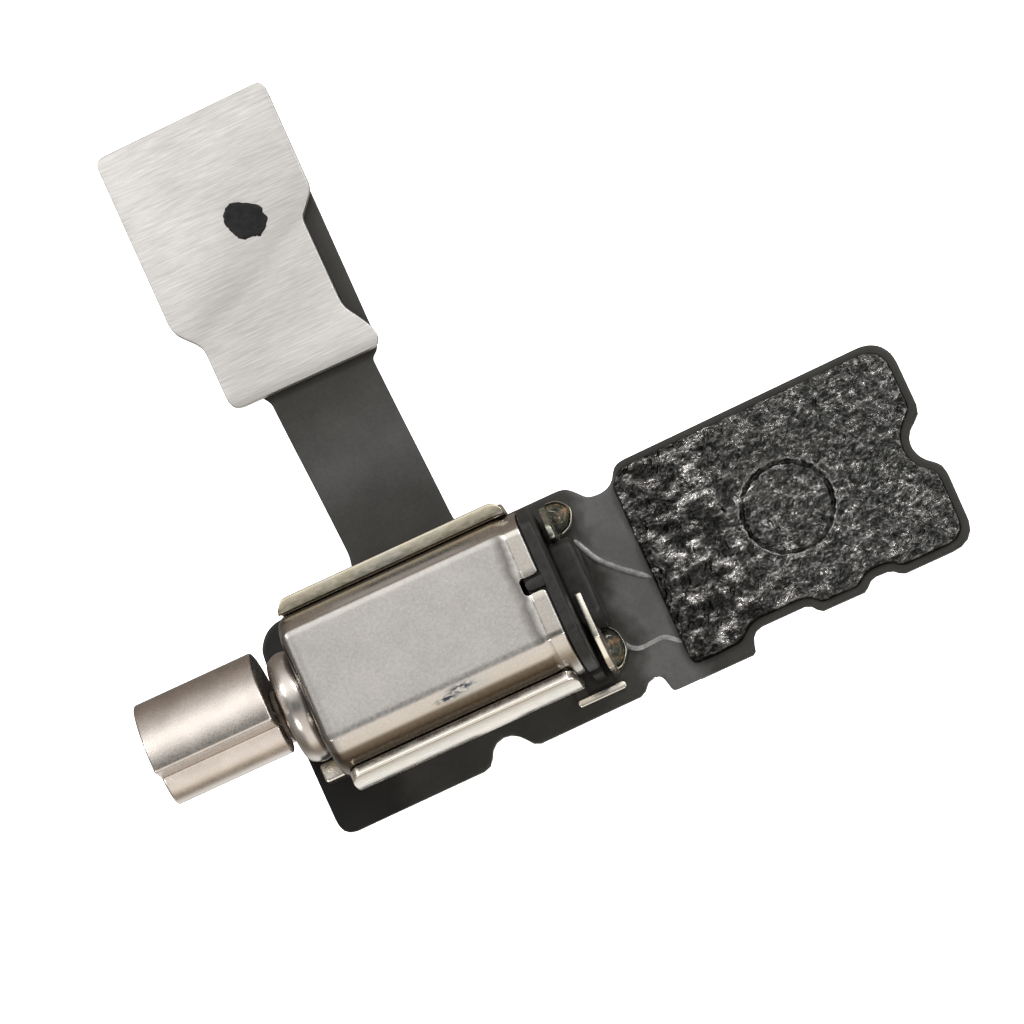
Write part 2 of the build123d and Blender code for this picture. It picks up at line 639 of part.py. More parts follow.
# Inspection dot of black ink on the plate.
with BuildPart() as ink_mark:
    with BuildSketch(Plane.XY.offset(Z_END + FLEX_T + 0.04 + PLATE_T)):
        with BuildLine():
            Polyline(
                (-0.72, 11.59), (-0.64, 11.80), (-0.50, 11.92), (-0.36, 11.96), (-0.12, 11.84), (0.08, 11.72),
                (0.27, 11.56), (0.22, 11.38), (0.31, 11.27), (0.16, 11.05), (-0.06, 10.88), (-0.16, 10.97),
                (-0.44, 10.98), (-0.56, 11.10), (-0.67, 11.38),
                close=True,
            )
        make_face()
    extrude(amount=0.015)
ink_mark.part.label = "ink_mark"

for piece in (
    motor_can, motor_holder, front_bearing, bearing_tube, magnet, shaft, eccentric_weight, thrust_washer,
    armature_coil, coil_holder, commutator, end_cap, rear_bearing, terminal_pos, terminal_neg, brush_pos,
    brush_neg, solder_pos, solder_neg, flex_base, base_stiffener, base_adhesive, neck_flex, pad_flex,
    pad_stiffener, pad_adhesive, pad_disc, pad_cover, tail_flex, tail_end_flex, plate_adhesive, steel_plate,
    connector_body, connector_contacts, ink_mark,
):
    export_step(piece.part, f"parts/{piece.part.label}.step")
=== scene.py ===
import math
import bmesh
import bpy
import numpy as np
from mathutils import Matrix, Vector


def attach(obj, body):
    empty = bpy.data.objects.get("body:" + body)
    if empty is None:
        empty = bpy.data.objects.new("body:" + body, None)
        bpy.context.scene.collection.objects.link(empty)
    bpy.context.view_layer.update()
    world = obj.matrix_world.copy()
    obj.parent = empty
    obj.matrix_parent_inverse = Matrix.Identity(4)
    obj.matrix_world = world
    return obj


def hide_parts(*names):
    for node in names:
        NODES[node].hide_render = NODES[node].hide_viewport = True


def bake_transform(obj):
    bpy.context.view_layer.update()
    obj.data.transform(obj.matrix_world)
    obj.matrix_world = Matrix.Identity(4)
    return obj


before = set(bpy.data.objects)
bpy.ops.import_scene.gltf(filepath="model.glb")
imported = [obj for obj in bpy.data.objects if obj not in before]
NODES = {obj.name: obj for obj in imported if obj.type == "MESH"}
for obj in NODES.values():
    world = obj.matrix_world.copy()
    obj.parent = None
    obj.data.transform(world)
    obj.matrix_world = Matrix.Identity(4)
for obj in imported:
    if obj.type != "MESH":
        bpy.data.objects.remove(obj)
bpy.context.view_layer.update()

MM = 0.001
ZA = 1.89
Z_TOP = 0.18
scene = bpy.context.scene


# ------------------------------------------------------------------ helpers
def link(ob):
    scene.collection.objects.link(ob)
    return ob


def finish_mesh(ob, angle=35.0):
    me = ob.data
    bm = bmesh.new()
    bm.from_mesh(me)
    bmesh.ops.remove_doubles(bm, verts=bm.verts, dist=1e-8)
    bmesh.ops.recalc_face_normals(bm, faces=bm.faces)
    bm.to_mesh(me)
    bm.free()
    me.shade_smooth()
    me.set_sharp_from_angle(angle=math.radians(angle))
    return ob


def mesh_obj(name, verts, faces, mat=None, angle=35.0, clean=True):
    me = bpy.data.meshes.new(name)
    me.from_pydata([(x * MM, y * MM, z * MM) for x, y, z in verts], [], [tuple(f) for f in faces])
    me.validate()
    me.update()
    ob = link(bpy.data.objects.new(name, me))
    if clean:
        finish_mesh(ob, angle)
    if mat:
        me.materials.append(mat)
    return ob


def apply_mods(ob):
    dg = bpy.context.evaluated_depsgraph_get()
    new = bpy.data.meshes.new_from_object(ob.evaluated_get(dg))
    ob.modifiers.clear()
    old = ob.data
    ob.data = new
    bpy.data.meshes.remove(old)
    return ob


def bevel(ob, width, segs=3, angle=40.0, sharp=35.0):
    m = ob.modifiers.new("b", "BEVEL")
    m.width = width * MM
    m.segments = segs
    m.limit_method = "ANGLE"
    m.angle_limit = math.radians(angle)
    m.use_clamp_overlap = True
    m.miter_outer = "MITER_ARC"
    m.harden_normals = False
    apply_mods(ob)
    return finish_mesh(ob, sharp)


def cut(ob, cutter, sharp=35.0, op="DIFFERENCE"):
    m = ob.modifiers.new("c", "BOOLEAN")
    m.operation = op
    m.solver = "EXACT"
    m.object = cutter
    apply_mods(ob)
    bpy.data.objects.remove(cutter)
    return finish_mesh(ob, sharp)


def join(name, obs):
    """One object of several closed shells."""
    bm = bmesh.new()
    mats = []
    for o in obs:
        base = len(bm.faces)
        bm.from_mesh(o.data)
        bm.faces.ensure_lookup_table()
        own = list(o.data.materials) or [None]
        for m in own:
            if m not in mats:
                mats.append(m)
        for f in bm.faces[base:]:
            f.material_index = mats.index(own[min(f.material_index, len(own) - 1)])
    me = bpy.data.meshes.new(name)
    bm.to_mesh(me)
    bm.free()
    for m in mats:
        if m:
            me.materials.append(m)
    for o in obs:
        bpy.data.objects.remove(o)
    me.set_sharp_from_angle(angle=math.radians(35))
    return link(bpy.data.objects.new(name, me))


def loft(name, rings, mat=None, cap0=True, cap1=True, closed=True, angle=35.0):
    """rings: lists of equally many (x, y, z) points, joined with quads."""
    n = len(rings[0])
    verts = [p for r in rings for p in r]
    faces = []
    for i in range(len(rings) - 1):
        a, b = i * n, (i + 1) * n
        for k in range(n if closed else n - 1):
            k2 = (k + 1) % n
            faces.append((a + k, a + k2, b + k2, b + k))
    if cap0:
        faces.append(tuple(range(n - 1, -1, -1)))
    if cap1:
        faces.append(tuple(range((len(rings) - 1) * n, len(rings) * n)))
    return mesh_obj(name, verts, faces, mat, angle)


def prism(name, pts, axis, lo, hi, mat=None, bev=0.0, segs=3, angle=35.0, bang=40.0):
    """A 2-D outline pushed along an axis. X: pts are (y, z). Y: (x, z). Z: (x, y)."""
    def at(p, h):
        return {"X": (h, p[0], p[1]), "Y": (p[0], h, p[1]), "Z": (p[0], p[1], h)}[axis]
    rings = [[at(p, lo) for p in pts], [at(p, hi) for p in pts]]
    ob = loft(name, rings, mat, angle=angle)
    if bev:
        bevel(ob, bev, segs, bang, angle)
    return ob


def revolve(name, prof, mat=None, n=128, cx=(0.0, ZA), angle=35.0):
    """prof: closed list of (x, r), turned round the shaft axis."""
    verts, faces = [], []
    m = len(prof)
    for k in range(n):
        t = 2 * math.pi * k / n
        for x, r in prof:
            verts.append((x, cx[0] + r * math.cos(t), cx[1] + r * math.sin(t)))
    for k in range(n):
        a, b = k * m, ((k + 1) % n) * m
        for i in range(m):
            j = (i + 1) % m
            faces.append((a + i, a + j, b + j, b + i))
    return mesh_obj(name, verts, faces, mat, angle)


def arc(cx, cy, r, a0, a1, n):
    return [(cx + r * math.cos(math.radians(a0 + (a1 - a0) * k / n)), cy + r * math.sin(math.radians(a0 + (a1 - a0) * k / n))) for k in range(n + 1)]


def rounded(pts, reach=0.09, times=3):
    """Cuts the corners of a closed outline, never further than reach along an edge."""
    pts = [Vector(p) for p in pts]
    for _ in range(times):
        out = []
        n = len(pts)
        for i in range(n):
            p, a, b = pts[i], pts[i - 1], pts[(i + 1) % n]
            la, lb = (a - p).length, (b - p).length
            out.append(p + (a - p) * (min(0.25 * la, reach) / la))
            out.append(p + (b - p) * (min(0.25 * lb, reach) / lb))
        pts = out
        reach *= 0.5
    return [(p.x, p.y) for p in pts]


def round_rect(cx, cy, w, h, r, n=6):
    out = []
    for sx, sy, a in ((1, 1, 0), (-1, 1, 90), (-1, -1, 180), (1, -1, 270)):
        out += arc(cx + sx * (w / 2 - r), cy + sy * (h / 2 - r), r, a, a + 90, n)
    return out


def put(ob, body, nodes=()):
    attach(ob, body)
    if nodes:
        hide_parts(*nodes)
    return ob


def set_mat(node, mat):
    ob = NODES[node]
    ob.data.materials.clear()
    ob.data.materials.append(mat)


# -------------------------------------------------------------- noise fields
def _hash(ix, iy, seed):
    h = (ix.astype(np.int64) * 374761393 + iy.astype(np.int64) * 668265263 + seed * 1442695041) & 0x7FFFFFFF
    h = ((h ^ (h >> 13)) * 1274126177) & 0x7FFFFFFF
    return ((h ^ (h >> 16)) & 0xFFFFFF) / float(0xFFFFFF)


def gnoise(x, y, seed=0):
    """Gradient noise, about -0.7 to 0.7."""
    ix, iy = np.floor(x), np.floor(y)
    fx, fy = x - ix, y - iy
    u = fx * fx * fx * (fx * (fx * 6 - 15) + 10)
    v = fy * fy * fy * (fy * (fy * 6 - 15) + 10)

    def g(dx, dy):
        a = _hash(ix + dx, iy + dy, seed) * 2 * math.pi
        return np.cos(a) * (fx - dx) + np.sin(a) * (fy - dy)
    n0 = g(0, 0) * (1 - u) + g(1, 0) * u
    n1 = g(0, 1) * (1 - u) + g(1, 1) * u
    return n0 * (1 - v) + n1 * v


def fbm(x, y, octaves=4, seed=0, gain=0.5, lac=2.03):
    s, a, f = 0.0, 1.0, 1.0
    for k in range(octaves):
        s = s + a * gnoise(x * f + 17.3 * k, y * f - 9.1 * k, seed + k)
        a *= gain
        f *= lac
    return s


def ridged(x, y, octaves=4, seed=0, gain=0.5, lac=2.07):
    s, a, f = 0.0, 1.0, 1.0
    for k in range(octaves):
        s = s + a * (1.0 - np.abs(gnoise(x * f + 5.7 * k, y * f + 3.9 * k, seed + k)) * 2.6)
        a *= gain
        f *= lac
    return s


def smooth(e0, e1, x):
    t = np.clip((x - e0) / (e1 - e0), 0, 1)
    return t * t * (3 - 2 * t)


def seg_dist(px, py, pts):
    """Distance from points to a polyline."""
    best = np.full(px.shape, 1e9)
    for (ax, ay), (bx, by) in zip(pts[:-1], pts[1:]):
        dx, dy = bx - ax, by - ay
        t = np.clip(((px - ax) * dx + (py - ay) * dy) / (dx * dx + dy * dy), 0, 1)
        best = np.minimum(best, np.hypot(px - ax - t * dx, py - ay - t * dy))
    return best


def inside(px, py, pts):
    res = np.zeros(px.shape, bool)
    n = len(pts)
    for i in range(n):
        x0, y0 = pts[i]
        x1, y1 = pts[(i + 1) % n]
        if y0 == y1:
            continue
        c = ((y0 > py) != (y1 > py)) & (px < (x1 - x0) * (py - y0) / (y1 - y0) + x0)
        res ^= c
    return res


def nearest_on(px, py, pts):
    """Signed distance (positive inside) and nearest point on a closed outline."""
    best = np.full(px.shape, 1e9)
    qx, qy = np.zeros(px.shape), np.zeros(px.shape)
    n = len(pts)
    for i in range(n):
        ax, ay = pts[i]
        bx, by = pts[(i + 1) % n]
        dx, dy = bx - ax, by - ay
        L = dx * dx + dy * dy
        if L < 1e-14:
            continue
        t = np.clip(((px - ax) * dx + (py - ay) * dy) / L, 0, 1)
        x, y = ax + t * dx, ay + t * dy
        d = np.hypot(px - x, py - y)
        m = d < best
        best = np.where(m, d, best)
        qx = np.where(m, x, qx)
        qy = np.where(m, y, qy)
    return np.where(inside(px, py, pts), best, -best), qx, qy


def sheet_grid(name, outline, step, top, bottom, mat=None, edge=0.0, xs=None, ys=None, angle=50.0):
    """A closed sheet over an outline: a square grid whose rim is drawn onto the outline.
    top(x, y, d) and bottom(x, y, d) give heights; d is the distance in from the outline."""
    x0, x1 = min(p[0] for p in outline), max(p[0] for p in outline)
    y0, y1 = min(p[1] for p in outline), max(p[1] for p in outline)
    gx = np.arange(x0 - step, x1 + 2 * step, step) if xs is None else xs
    gy = np.arange(y0 - step, y1 + 2 * step, step) if ys is None else ys
    X, Y = np.meshgrid(gx, gy, indexing="ij")
    D, QX, QY = nearest_on(X, Y, outline)
    snap = np.abs(D) < 0.55 * step
    X = np.where(snap, QX, X)
    Y = np.where(snap, QY, Y)
    D = np.where(snap, 0.0, D)
    ok = D >= 0
    cell = ok[:-1, :-1] & ok[1:, :-1] & ok[1:, 1:] & ok[:-1, 1:]
    # a cell with all four corners on the rim may lie outside: test its middle
    mx = (X[:-1, :-1] + X[1:, :-1] + X[1:, 1:] + X[:-1, 1:]) / 4
    my = (Y[:-1, :-1] + Y[1:, :-1] + Y[1:, 1:] + Y[:-1, 1:]) / 4
    cell &= inside(mx, my, outline)
    # corners where three of the four points are in: one triangle
    idx = -np.ones(X.shape, int)
    faces = []
    I, J = np.nonzero(cell)
    tri = []
    cnt = ok[:-1, :-1].astype(int) + ok[1:, :-1] + ok[1:, 1:] + ok[:-1, 1:]
    for i, j in zip(*np.nonzero(cnt == 3)):
        q = [(i, j), (i + 1, j), (i + 1, j + 1), (i, j + 1)]
        t = [c for c in q if ok[c]]
        cx = sum(X[c] for c in t) / 3
        cy = sum(Y[c] for c in t) / 3
        if inside(np.array([cx]), np.array([cy]), outline)[0]:
            tri.append(t)
    used = np.zeros(X.shape, bool)
    used[I, J] = used[I + 1, J] = used[I + 1, J + 1] = used[I, J + 1] = True
    for t in tri:
        for c in t:
            used[c] = True
    ui, uj = np.nonzero(used)
    idx[ui, uj] = np.arange(len(ui))
    xs_, ys_, ds_ = X[ui, uj], Y[ui, uj], D[ui, uj]
    zt, zb = top(xs_, ys_, ds_), bottom(xs_, ys_, ds_)
    n = len(ui)
    verts = np.concatenate([np.stack([xs_, ys_, zt], 1), np.stack([xs_, ys_, zb], 1)])
    quads = np.stack([idx[I, J], idx[I + 1, J], idx[I + 1, J + 1], idx[I, J + 1]], 1).tolist()
    tris = [[int(idx[c]) for c in t] for t in tri]
    tops = quads + tris
    edges = {}
    for f in tops:
        for k in range(len(f)):
            a, b = f[k], f[(k + 1) % len(f)]
            if (b, a) in edges:
                del edges[(b, a)]
            else:
                edges[(a, b)] = 1
    faces = [tuple(f) for f in tops] + [tuple(n + v for v in reversed(f)) for f in tops]
    faces += [(b, a, n + a, n + b) for a, b in edges]
    ob = mesh_obj(name, verts.tolist(), faces, mat, angle)
    return ob


# ---------------------------------------------------------------- materials
class Mat:
    """A procedural material in millimetres of object space."""

    def __init__(self, name, base=(0.5, 0.5, 0.5), metallic=0.0, rough=0.4, spec=0.5):
        self.m = bpy.data.materials.new(name)
        self.m.use_nodes = True
        self.nt = self.m.node_tree
        self.nt.nodes.clear()
        self.out = self.nt.nodes.new("ShaderNodeOutputMaterial")
        self.p = self.nt.nodes.new("ShaderNodeBsdfPrincipled")
        self.nt.links.new(self.p.outputs[0], self.out.inputs[0])
        self.p.inputs["Base Color"].default_value = (*base, 1)
        self.p.inputs["Metallic"].default_value = metallic
        self.p.inputs["Roughness"].default_value = rough
        self.p.inputs["Specular IOR Level"].default_value = spec
        self.tc = self.nt.nodes.new("ShaderNodeTexCoord")
        self._b = None

    def vec(self, scale=(1, 1, 1), loc=(0, 0, 0), rot=(0, 0, 0)):
        n = self.nt.nodes.new("ShaderNodeMapping")
        n.inputs["Scale"].default_value = [1000 * s for s in scale]
        n.inputs["Location"].default_value = loc
        n.inputs["Rotation"].default_value = rot
        self.nt.links.new(self.tc.outputs["Object"], n.inputs["Vector"])
        return n.outputs[0]

    def noise(self, scale=1.0, detail=4.0, rough=0.5, stretch=(1, 1, 1), dist=0.0, loc=(0, 0, 0), rot=(0, 0, 0)):
        n = self.nt.nodes.new("ShaderNodeTexNoise")
        n.inputs["Scale"].default_value = scale
        n.inputs["Detail"].default_value = detail
        n.inputs["Roughness"].default_value = rough
        n.inputs["Distortion"].default_value = dist
        self.nt.links.new(self.vec(stretch, loc, rot), n.inputs["Vector"])
        return n.outputs["Fac"]

    def voronoi(self, scale=1.0, feature="F1", stretch=(1, 1, 1), loc=(0, 0, 0), rand=1.0):
        n = self.nt.nodes.new("ShaderNodeTexVoronoi")
        n.feature = feature
        n.inputs["Scale"].default_value = scale
        n.inputs["Randomness"].default_value = rand
        self.nt.links.new(self.vec(stretch, loc), n.inputs["Vector"])
        return n.outputs["Distance"]

    def ramp(self, fac, stops, interp="LINEAR"):
        n = self.nt.nodes.new("ShaderNodeValToRGB")
        n.color_ramp.interpolation = interp
        el = n.color_ramp.elements
        while len(el) > 1:
            el.remove(el[-1])
        for k, (pos, c) in enumerate(stops):
            e = el[0] if k == 0 else el.new(pos)
            e.position = pos
            e.color = (*c, 1) if len(c) == 3 else c
        self.nt.links.new(fac, n.inputs[0])
        return n.outputs[0]

    def maprange(self, fac, a, b, c, d):
        n = self.nt.nodes.new("ShaderNodeMapRange")
        n.clamp = True
        for k, v in zip(("From Min", "From Max", "To Min", "To Max"), (a, b, c, d)):
            n.inputs[k].default_value = v
        self.nt.links.new(fac, n.inputs["Value"])
        return n.outputs[0]

    def math(self, op, a, b=None, clamp=False):
        n = self.nt.nodes.new("ShaderNodeMath")
        n.operation = op
        n.use_clamp = clamp
        for k, v in enumerate((a, b)):
            if v is None:
                continue
            if isinstance(v, (int, float)):
                n.inputs[k].default_value = v
            else:
                self.nt.links.new(v, n.inputs[k])
        return n.outputs[0]

    def mix(self, fac, a, b, mode="MIX"):
        n = self.nt.nodes.new("ShaderNodeMix")
        n.data_type = "RGBA"
        n.blend_type = mode
        if isinstance(fac, (int, float)):
            n.inputs[0].default_value = fac
        else:
            self.nt.links.new(fac, n.inputs[0])
        for k, v in ((6, a), (7, b)):
            if isinstance(v, tuple):
                n.inputs[k].default_value = (*v, 1)
            else:
                self.nt.links.new(v, n.inputs[k])
        return n.outputs[2]

    def sphere(self, centre, radius, soft=0.5, scale=(1, 1, 1)):
        """1 inside an ellipsoid in millimetres, fading to 0."""
        n = self.nt.nodes.new("ShaderNodeMapping")
        n.vector_type = "POINT"
        n.inputs["Scale"].default_value = [1000 * s / radius for s in scale]
        n.inputs["Location"].default_value = [-c * s / radius for c, s in zip(centre, scale)]
        self.nt.links.new(self.tc.outputs["Object"], n.inputs["Vector"])
        v = self.nt.nodes.new("ShaderNodeVectorMath")
        v.operation = "LENGTH"
        self.nt.links.new(n.outputs[0], v.inputs[0])
        return self.maprange(v.outputs["Value"], 1 - soft, 1 + soft, 1, 0)

    def color(self, c):
        self.nt.links.new(c, self.p.inputs["Base Color"])

    def rough(self, f):
        self.nt.links.new(f, self.p.inputs["Roughness"])

    def bump(self, height, dist_mm, strength=1.0):
        n = self.nt.nodes.new("ShaderNodeBump")
        n.inputs["Strength"].default_value = strength
        n.inputs["Distance"].default_value = dist_mm * MM
        self.nt.links.new(height, n.inputs["Height"])
        if self._b:
            self.nt.links.new(self._b, n.inputs["Normal"])
        self._b = n.outputs[0]
        self.nt.links.new(self._b, self.p.inputs["Normal"])

    def set(self, name, value):
        self.p.inputs[name].default_value = value


def satin_metal(name, c0, c1, r0, r1, grain=9.0, bump=0.004, cloud=0.8, metallic=1.0, stretch=(1, 1, 1)):
    m = Mat(name, c0, metallic, r0)
    clouds = m.noise(cloud, 5, 0.6)
    fine = m.noise(grain, 6, 0.7, stretch)
    mixf = m.math("ADD", m.math("MULTIPLY", clouds, 0.6), m.math("MULTIPLY", fine, 0.4))
    m.color(m.ramp(mixf, [(0.32, c0), (0.68, c1)]))
    m.rough(m.maprange(m.math("ADD", m.math("MULTIPLY", fine, 0.7), m.math("MULTIPLY", clouds, 0.3)), 0.35, 0.68, r0, r1))
    m.bump(m.noise(grain * 1.6, 4, 0.65, stretch), bump, 0.6)
    return m


# can: matt speckled flats, glossier and warmer round sides, one scuff on the
# near shoulder
m = Mat("can_satin_steel", (0.44, 0.43, 0.415), 1.0, 0.36)
clouds = m.noise(0.9, 5, 0.6)
fine = m.noise(13.0, 6, 0.72)
pits = m.noise(30.0, 3, 0.6)
f = m.math("ADD", m.math("MULTIPLY", clouds, 0.35), m.math("MULTIPLY", fine, 0.65))
flat_c = m.ramp(f, [(0.40, (0.375, 0.362, 0.350)), (0.60, (0.465, 0.450, 0.432))])
side_c = m.ramp(f, [(0.32, (0.43, 0.405, 0.37)), (0.68, (0.52, 0.495, 0.46))])
sp = m.nt.nodes.new("ShaderNodeSeparateXYZ")
m.nt.links.new(m.tc.outputs["Object"], sp.inputs[0])
pz = m.math("MULTIPLY", sp.outputs["Z"], 1000.0)
onflat = m.maprange(pz, 3.405, 3.425, 0, 1)
c = m.mix(onflat, side_c, flat_c)
c = m.mix(m.maprange(pits, 0.63, 0.70, 0, 0.35), c, (0.80, 0.79, 0.77))
s1 = m.sphere((-0.22, -1.55, 3.23), 0.24, 0.5, (1.0, 2.9, 2.9))
s2 = m.sphere((0.16, -1.47, 3.31), 0.30, 0.5, (1.0, 2.7, 2.7))
s3 = m.sphere((0.30, -1.50, 3.28), 0.42, 0.8, (1.0, 2.4, 2.4))
sn = m.noise(5.0, 4, 0.6, (1.0, 2.4, 2.4))
scuff = m.math("MULTIPLY", m.math("MAXIMUM", s1, s2), m.maprange(sn, 0.40, 0.54, 0, 1), clamp=True)
haze = m.math("MULTIPLY", s3, m.maprange(sn, 0.36, 0.60, 0.15, 0.75), clamp=True)
px = m.math("MULTIPLY", sp.outputs["X"], 1000.0)
# painted reflection and shade: dark brown bands, with one paler band, low on the can's round sides stand in for the
# holder arm mirrored in the can and the shade under it
heat_tint_and_painted_reflection = m.ramp(m.maprange(pz, 2.50, 3.20, 0, 1), [(0.10, (0.115, 0.095, 0.075)), (0.36, (0.10, 0.078, 0.055)), (0.52, (0.070, 0.050, 0.032)), (0.62, (0.13, 0.10, 0.075)), (0.80, (0.145, 0.118, 0.09))])
low = m.math("MULTIPLY", m.maprange(pz, 3.07, 3.16, 1, 0), m.maprange(px, 2.34, 2.50, 1, 0))
low = m.math("MULTIPLY", low, m.maprange(fine, 0.30, 0.60, 0.80, 0.97), clamp=True)
c = m.mix(low, c, heat_tint_and_painted_reflection)
# painted shade: the front rounding is darkened towards the front face
front = m.math("MULTIPLY", m.maprange(px, -3.12, -2.80, 0.72, 0.0), m.maprange(clouds, 0.35, 0.65, 0.85, 1.0), clamp=True)
c = m.mix(front, c, (0.075, 0.068, 0.062))
# painted shade: a dark, wavering band across the flat top over the step near the rear
wob = m.math("MULTIPLY", m.math("SUBTRACT", m.noise(2.4, 4, 0.6, (0.4, 1.0, 1.0)), 0.5), 0.30)
sx = m.math("ADD", px, wob)
painted_step_shade = m.math("MULTIPLY", m.maprange(sx, 2.06, 2.30, 0, 1), m.maprange(sx, 2.30, 2.44, 1, 0), clamp=True)
painted_step_shade = m.math("MULTIPLY", m.math("MULTIPLY", painted_step_shade, onflat), 0.78, clamp=True)
c = m.mix(painted_step_shade, c, (0.13, 0.12, 0.112))
c = m.mix(haze, c, (0.30, 0.34, 0.36))
c = m.mix(scuff, c, (0.035, 0.045, 0.065))
m.color(c)
m.rough(m.mix(onflat, m.maprange(fine, 0.35, 0.65, 0.15, 0.24), m.maprange(fine, 0.35, 0.65, 0.36, 0.46)))
m.bump(fine, 0.0032, 0.6)
CAN = m
# painted highlight: a much brighter copy of the can steel for the rear rim and the notch edges
m = satin_metal("can_edge_painted_highlight", (0.78, 0.76, 0.73), (0.90, 0.885, 0.86), 0.20, 0.32, 14.0, 0.001, 1.0)
EDGE_HIGHLIGHT = m
m = satin_metal("nose_satin_steel", (0.44, 0.41, 0.385), (0.54, 0.51, 0.48), 0.22, 0.28, 9.0, 0.0008, 1.4)
NOSE = m
m = Mat("holder_spring_steel", (0.6, 0.56, 0.49), 1.0, 0.24)
t1_ = m.noise(1.3, 4, 0.6, (0.5, 1, 1))
t2_ = m.noise(12.0, 5, 0.65, (0.35, 1, 1))
# the holder uses this ramp for the steel's own heat tint, grey to straw
heat_tint_and_painted_reflection = m.ramp(t1_, [(0.30, (0.50, 0.49, 0.46)), (0.44, (0.56, 0.53, 0.44)), (0.54, (0.58, 0.52, 0.38)), (0.64, (0.55, 0.47, 0.36)), (0.74, (0.52, 0.50, 0.46))])
sp = m.nt.nodes.new("ShaderNodeSeparateXYZ")
m.nt.links.new(m.tc.outputs["Object"], sp.inputs[0])
py = m.math("MULTIPLY", sp.outputs["Y"], 1000.0)
c = m.mix(0.35, heat_tint_and_painted_reflection, m.ramp(t2_, [(0.35, (0.44, 0.41, 0.34)), (0.65, (0.64, 0.61, 0.54))]))
# painted highlight: the near side of the holder is mixed towards a pale cream
c = m.mix(m.maprange(py, -1.5, -1.2, 0.72, 0.0), c, (0.80, 0.775, 0.735))
m.color(c)
m.rough(m.maprange(t2_, 0.35, 0.65, 0.20, 0.34))
m.bump(m.noise(20.0, 4, 0.65, (0.35, 1, 1)), 0.0007, 0.5)
HOLDER = m
m = satin_metal("weight_tungsten", (0.48, 0.44, 0.41), (0.63, 0.585, 0.55), 0.22, 0.34, 10.0, 0.006, 1.6, stretch=(1.8, 1, 1))
WEIGHT = m
m = satin_metal("shaft_steel", (0.62, 0.62, 0.61), (0.72, 0.72, 0.71), 0.14, 0.22, 20.0, 0.001, 2.0, stretch=(4, 1, 1))
SHAFT = m
m = satin_metal("sintered_bronze", (0.25, 0.16, 0.08), (0.46, 0.31, 0.16), 0.36, 0.55, 14.0, 0.006, 2.0)
BRONZE = m
m = satin_metal("terminal_tin", (0.66, 0.63, 0.53), (0.80, 0.78, 0.70), 0.22, 0.36, 12.0, 0.003, 2.0)
TIN = m
m = satin_metal("gold_contact", (0.72, 0.50, 0.20), (0.86, 0.66, 0.32), 0.18, 0.30, 18.0, 0.002, 2.0)
GOLD = m
m = satin_metal("copper_winding", (0.38, 0.13, 0.05), (0.62, 0.27, 0.12), 0.25, 0.40, 6.0, 0.006, 2.0, stretch=(1, 8, 8))
COPPER = m
m = satin_metal("magnet_dark", (0.05, 0.05, 0.055), (0.10, 0.10, 0.11), 0.45, 0.6, 10.0, 0.004, 2.0, metallic=0.6)
MAGNET = m
m = satin_metal("disc_steel", (0.45, 0.45, 0.45), (0.6, 0.6, 0.6), 0.25, 0.4, 10.0, 0.003, 2.0)
DISC = m

# painted shade: a darker copy of the terminal tin, used on the upper terminal
m = Mat("terminal_tin_painted_shade", (0.36, 0.37, 0.31), 1.0, 0.30)
f = m.noise(5.0, 5, 0.6)
m.color(m.ramp(f, [(0.35, (0.20, 0.21, 0.17)), (0.65, (0.46, 0.47, 0.41))]))
m.rough(m.maprange(m.noise(12.0, 4, 0.6), 0.35, 0.65, 0.22, 0.36))
m.bump(m.noise(16.0, 4, 0.6), 0.002, 0.5)
TIN_PAINTED_SHADE = m

# solder: semi-bright and slightly grainy; the middle of each bead is a painted dark reflection, dark olive and glossy
m = Mat("solder_bright", (0.55, 0.54, 0.48), 1.0, 0.22)
f = m.noise(5.0, 5, 0.6)
m.color(m.ramp(f, [(0.35, (0.40, 0.38, 0.30)), (0.6, (0.66, 0.65, 0.60))]))
m.rough(m.maprange(m.noise(9.0, 4, 0.6), 0.35, 0.65, 0.14, 0.30))
m.bump(m.noise(14.0, 4, 0.6), 0.003, 0.6)
SOLDER = m
m = Mat("solder_painted_dark_reflection", (0.03, 0.03, 0.02), 0.0, 0.14, 0.30)
f = m.noise(3.4, 5, 0.65)
m.color(m.ramp(f, [(0.32, (0.010, 0.010, 0.008)), (0.52, (0.034, 0.034, 0.023)), (0.60, (0.08, 0.062, 0.036)), (0.70, (0.26, 0.15, 0.09))]))
m.rough(m.maprange(m.noise(7.0, 4, 0.6), 0.35, 0.65, 0.10, 0.26))
m.bump(m.noise(6.0, 4, 0.6), 0.010, 0.6)
SOLDER_DARK_REFLECTION = m

# brushed stainless plate, grain along X
m = Mat("plate_brushed_steel", (0.55, 0.54, 0.53), 1.0, 0.34)
streak = m.noise(22.0, 5, 0.72, (0.05, 1.0, 1.0))
streak2 = m.noise(60.0, 3, 0.7, (0.04, 1.0, 1.0))
soft = m.noise(0.6, 3, 0.5)
f = m.math("ADD", m.math("MULTIPLY", streak, 0.5), m.math("ADD", m.math("MULTIPLY", streak2, 0.30), m.math("MULTIPLY", soft, 0.20)))
m.color(m.ramp(f, [(0.40, (0.41, 0.402, 0.394)), (0.50, (0.48, 0.472, 0.463)), (0.60, (0.56, 0.552, 0.543))]))
m.rough(m.maprange(f, 0.36, 0.64, 0.56, 0.46))
m.bump(streak, 0.004, 0.5)
m.bump(streak2, 0.002, 0.4)
PLATE = m

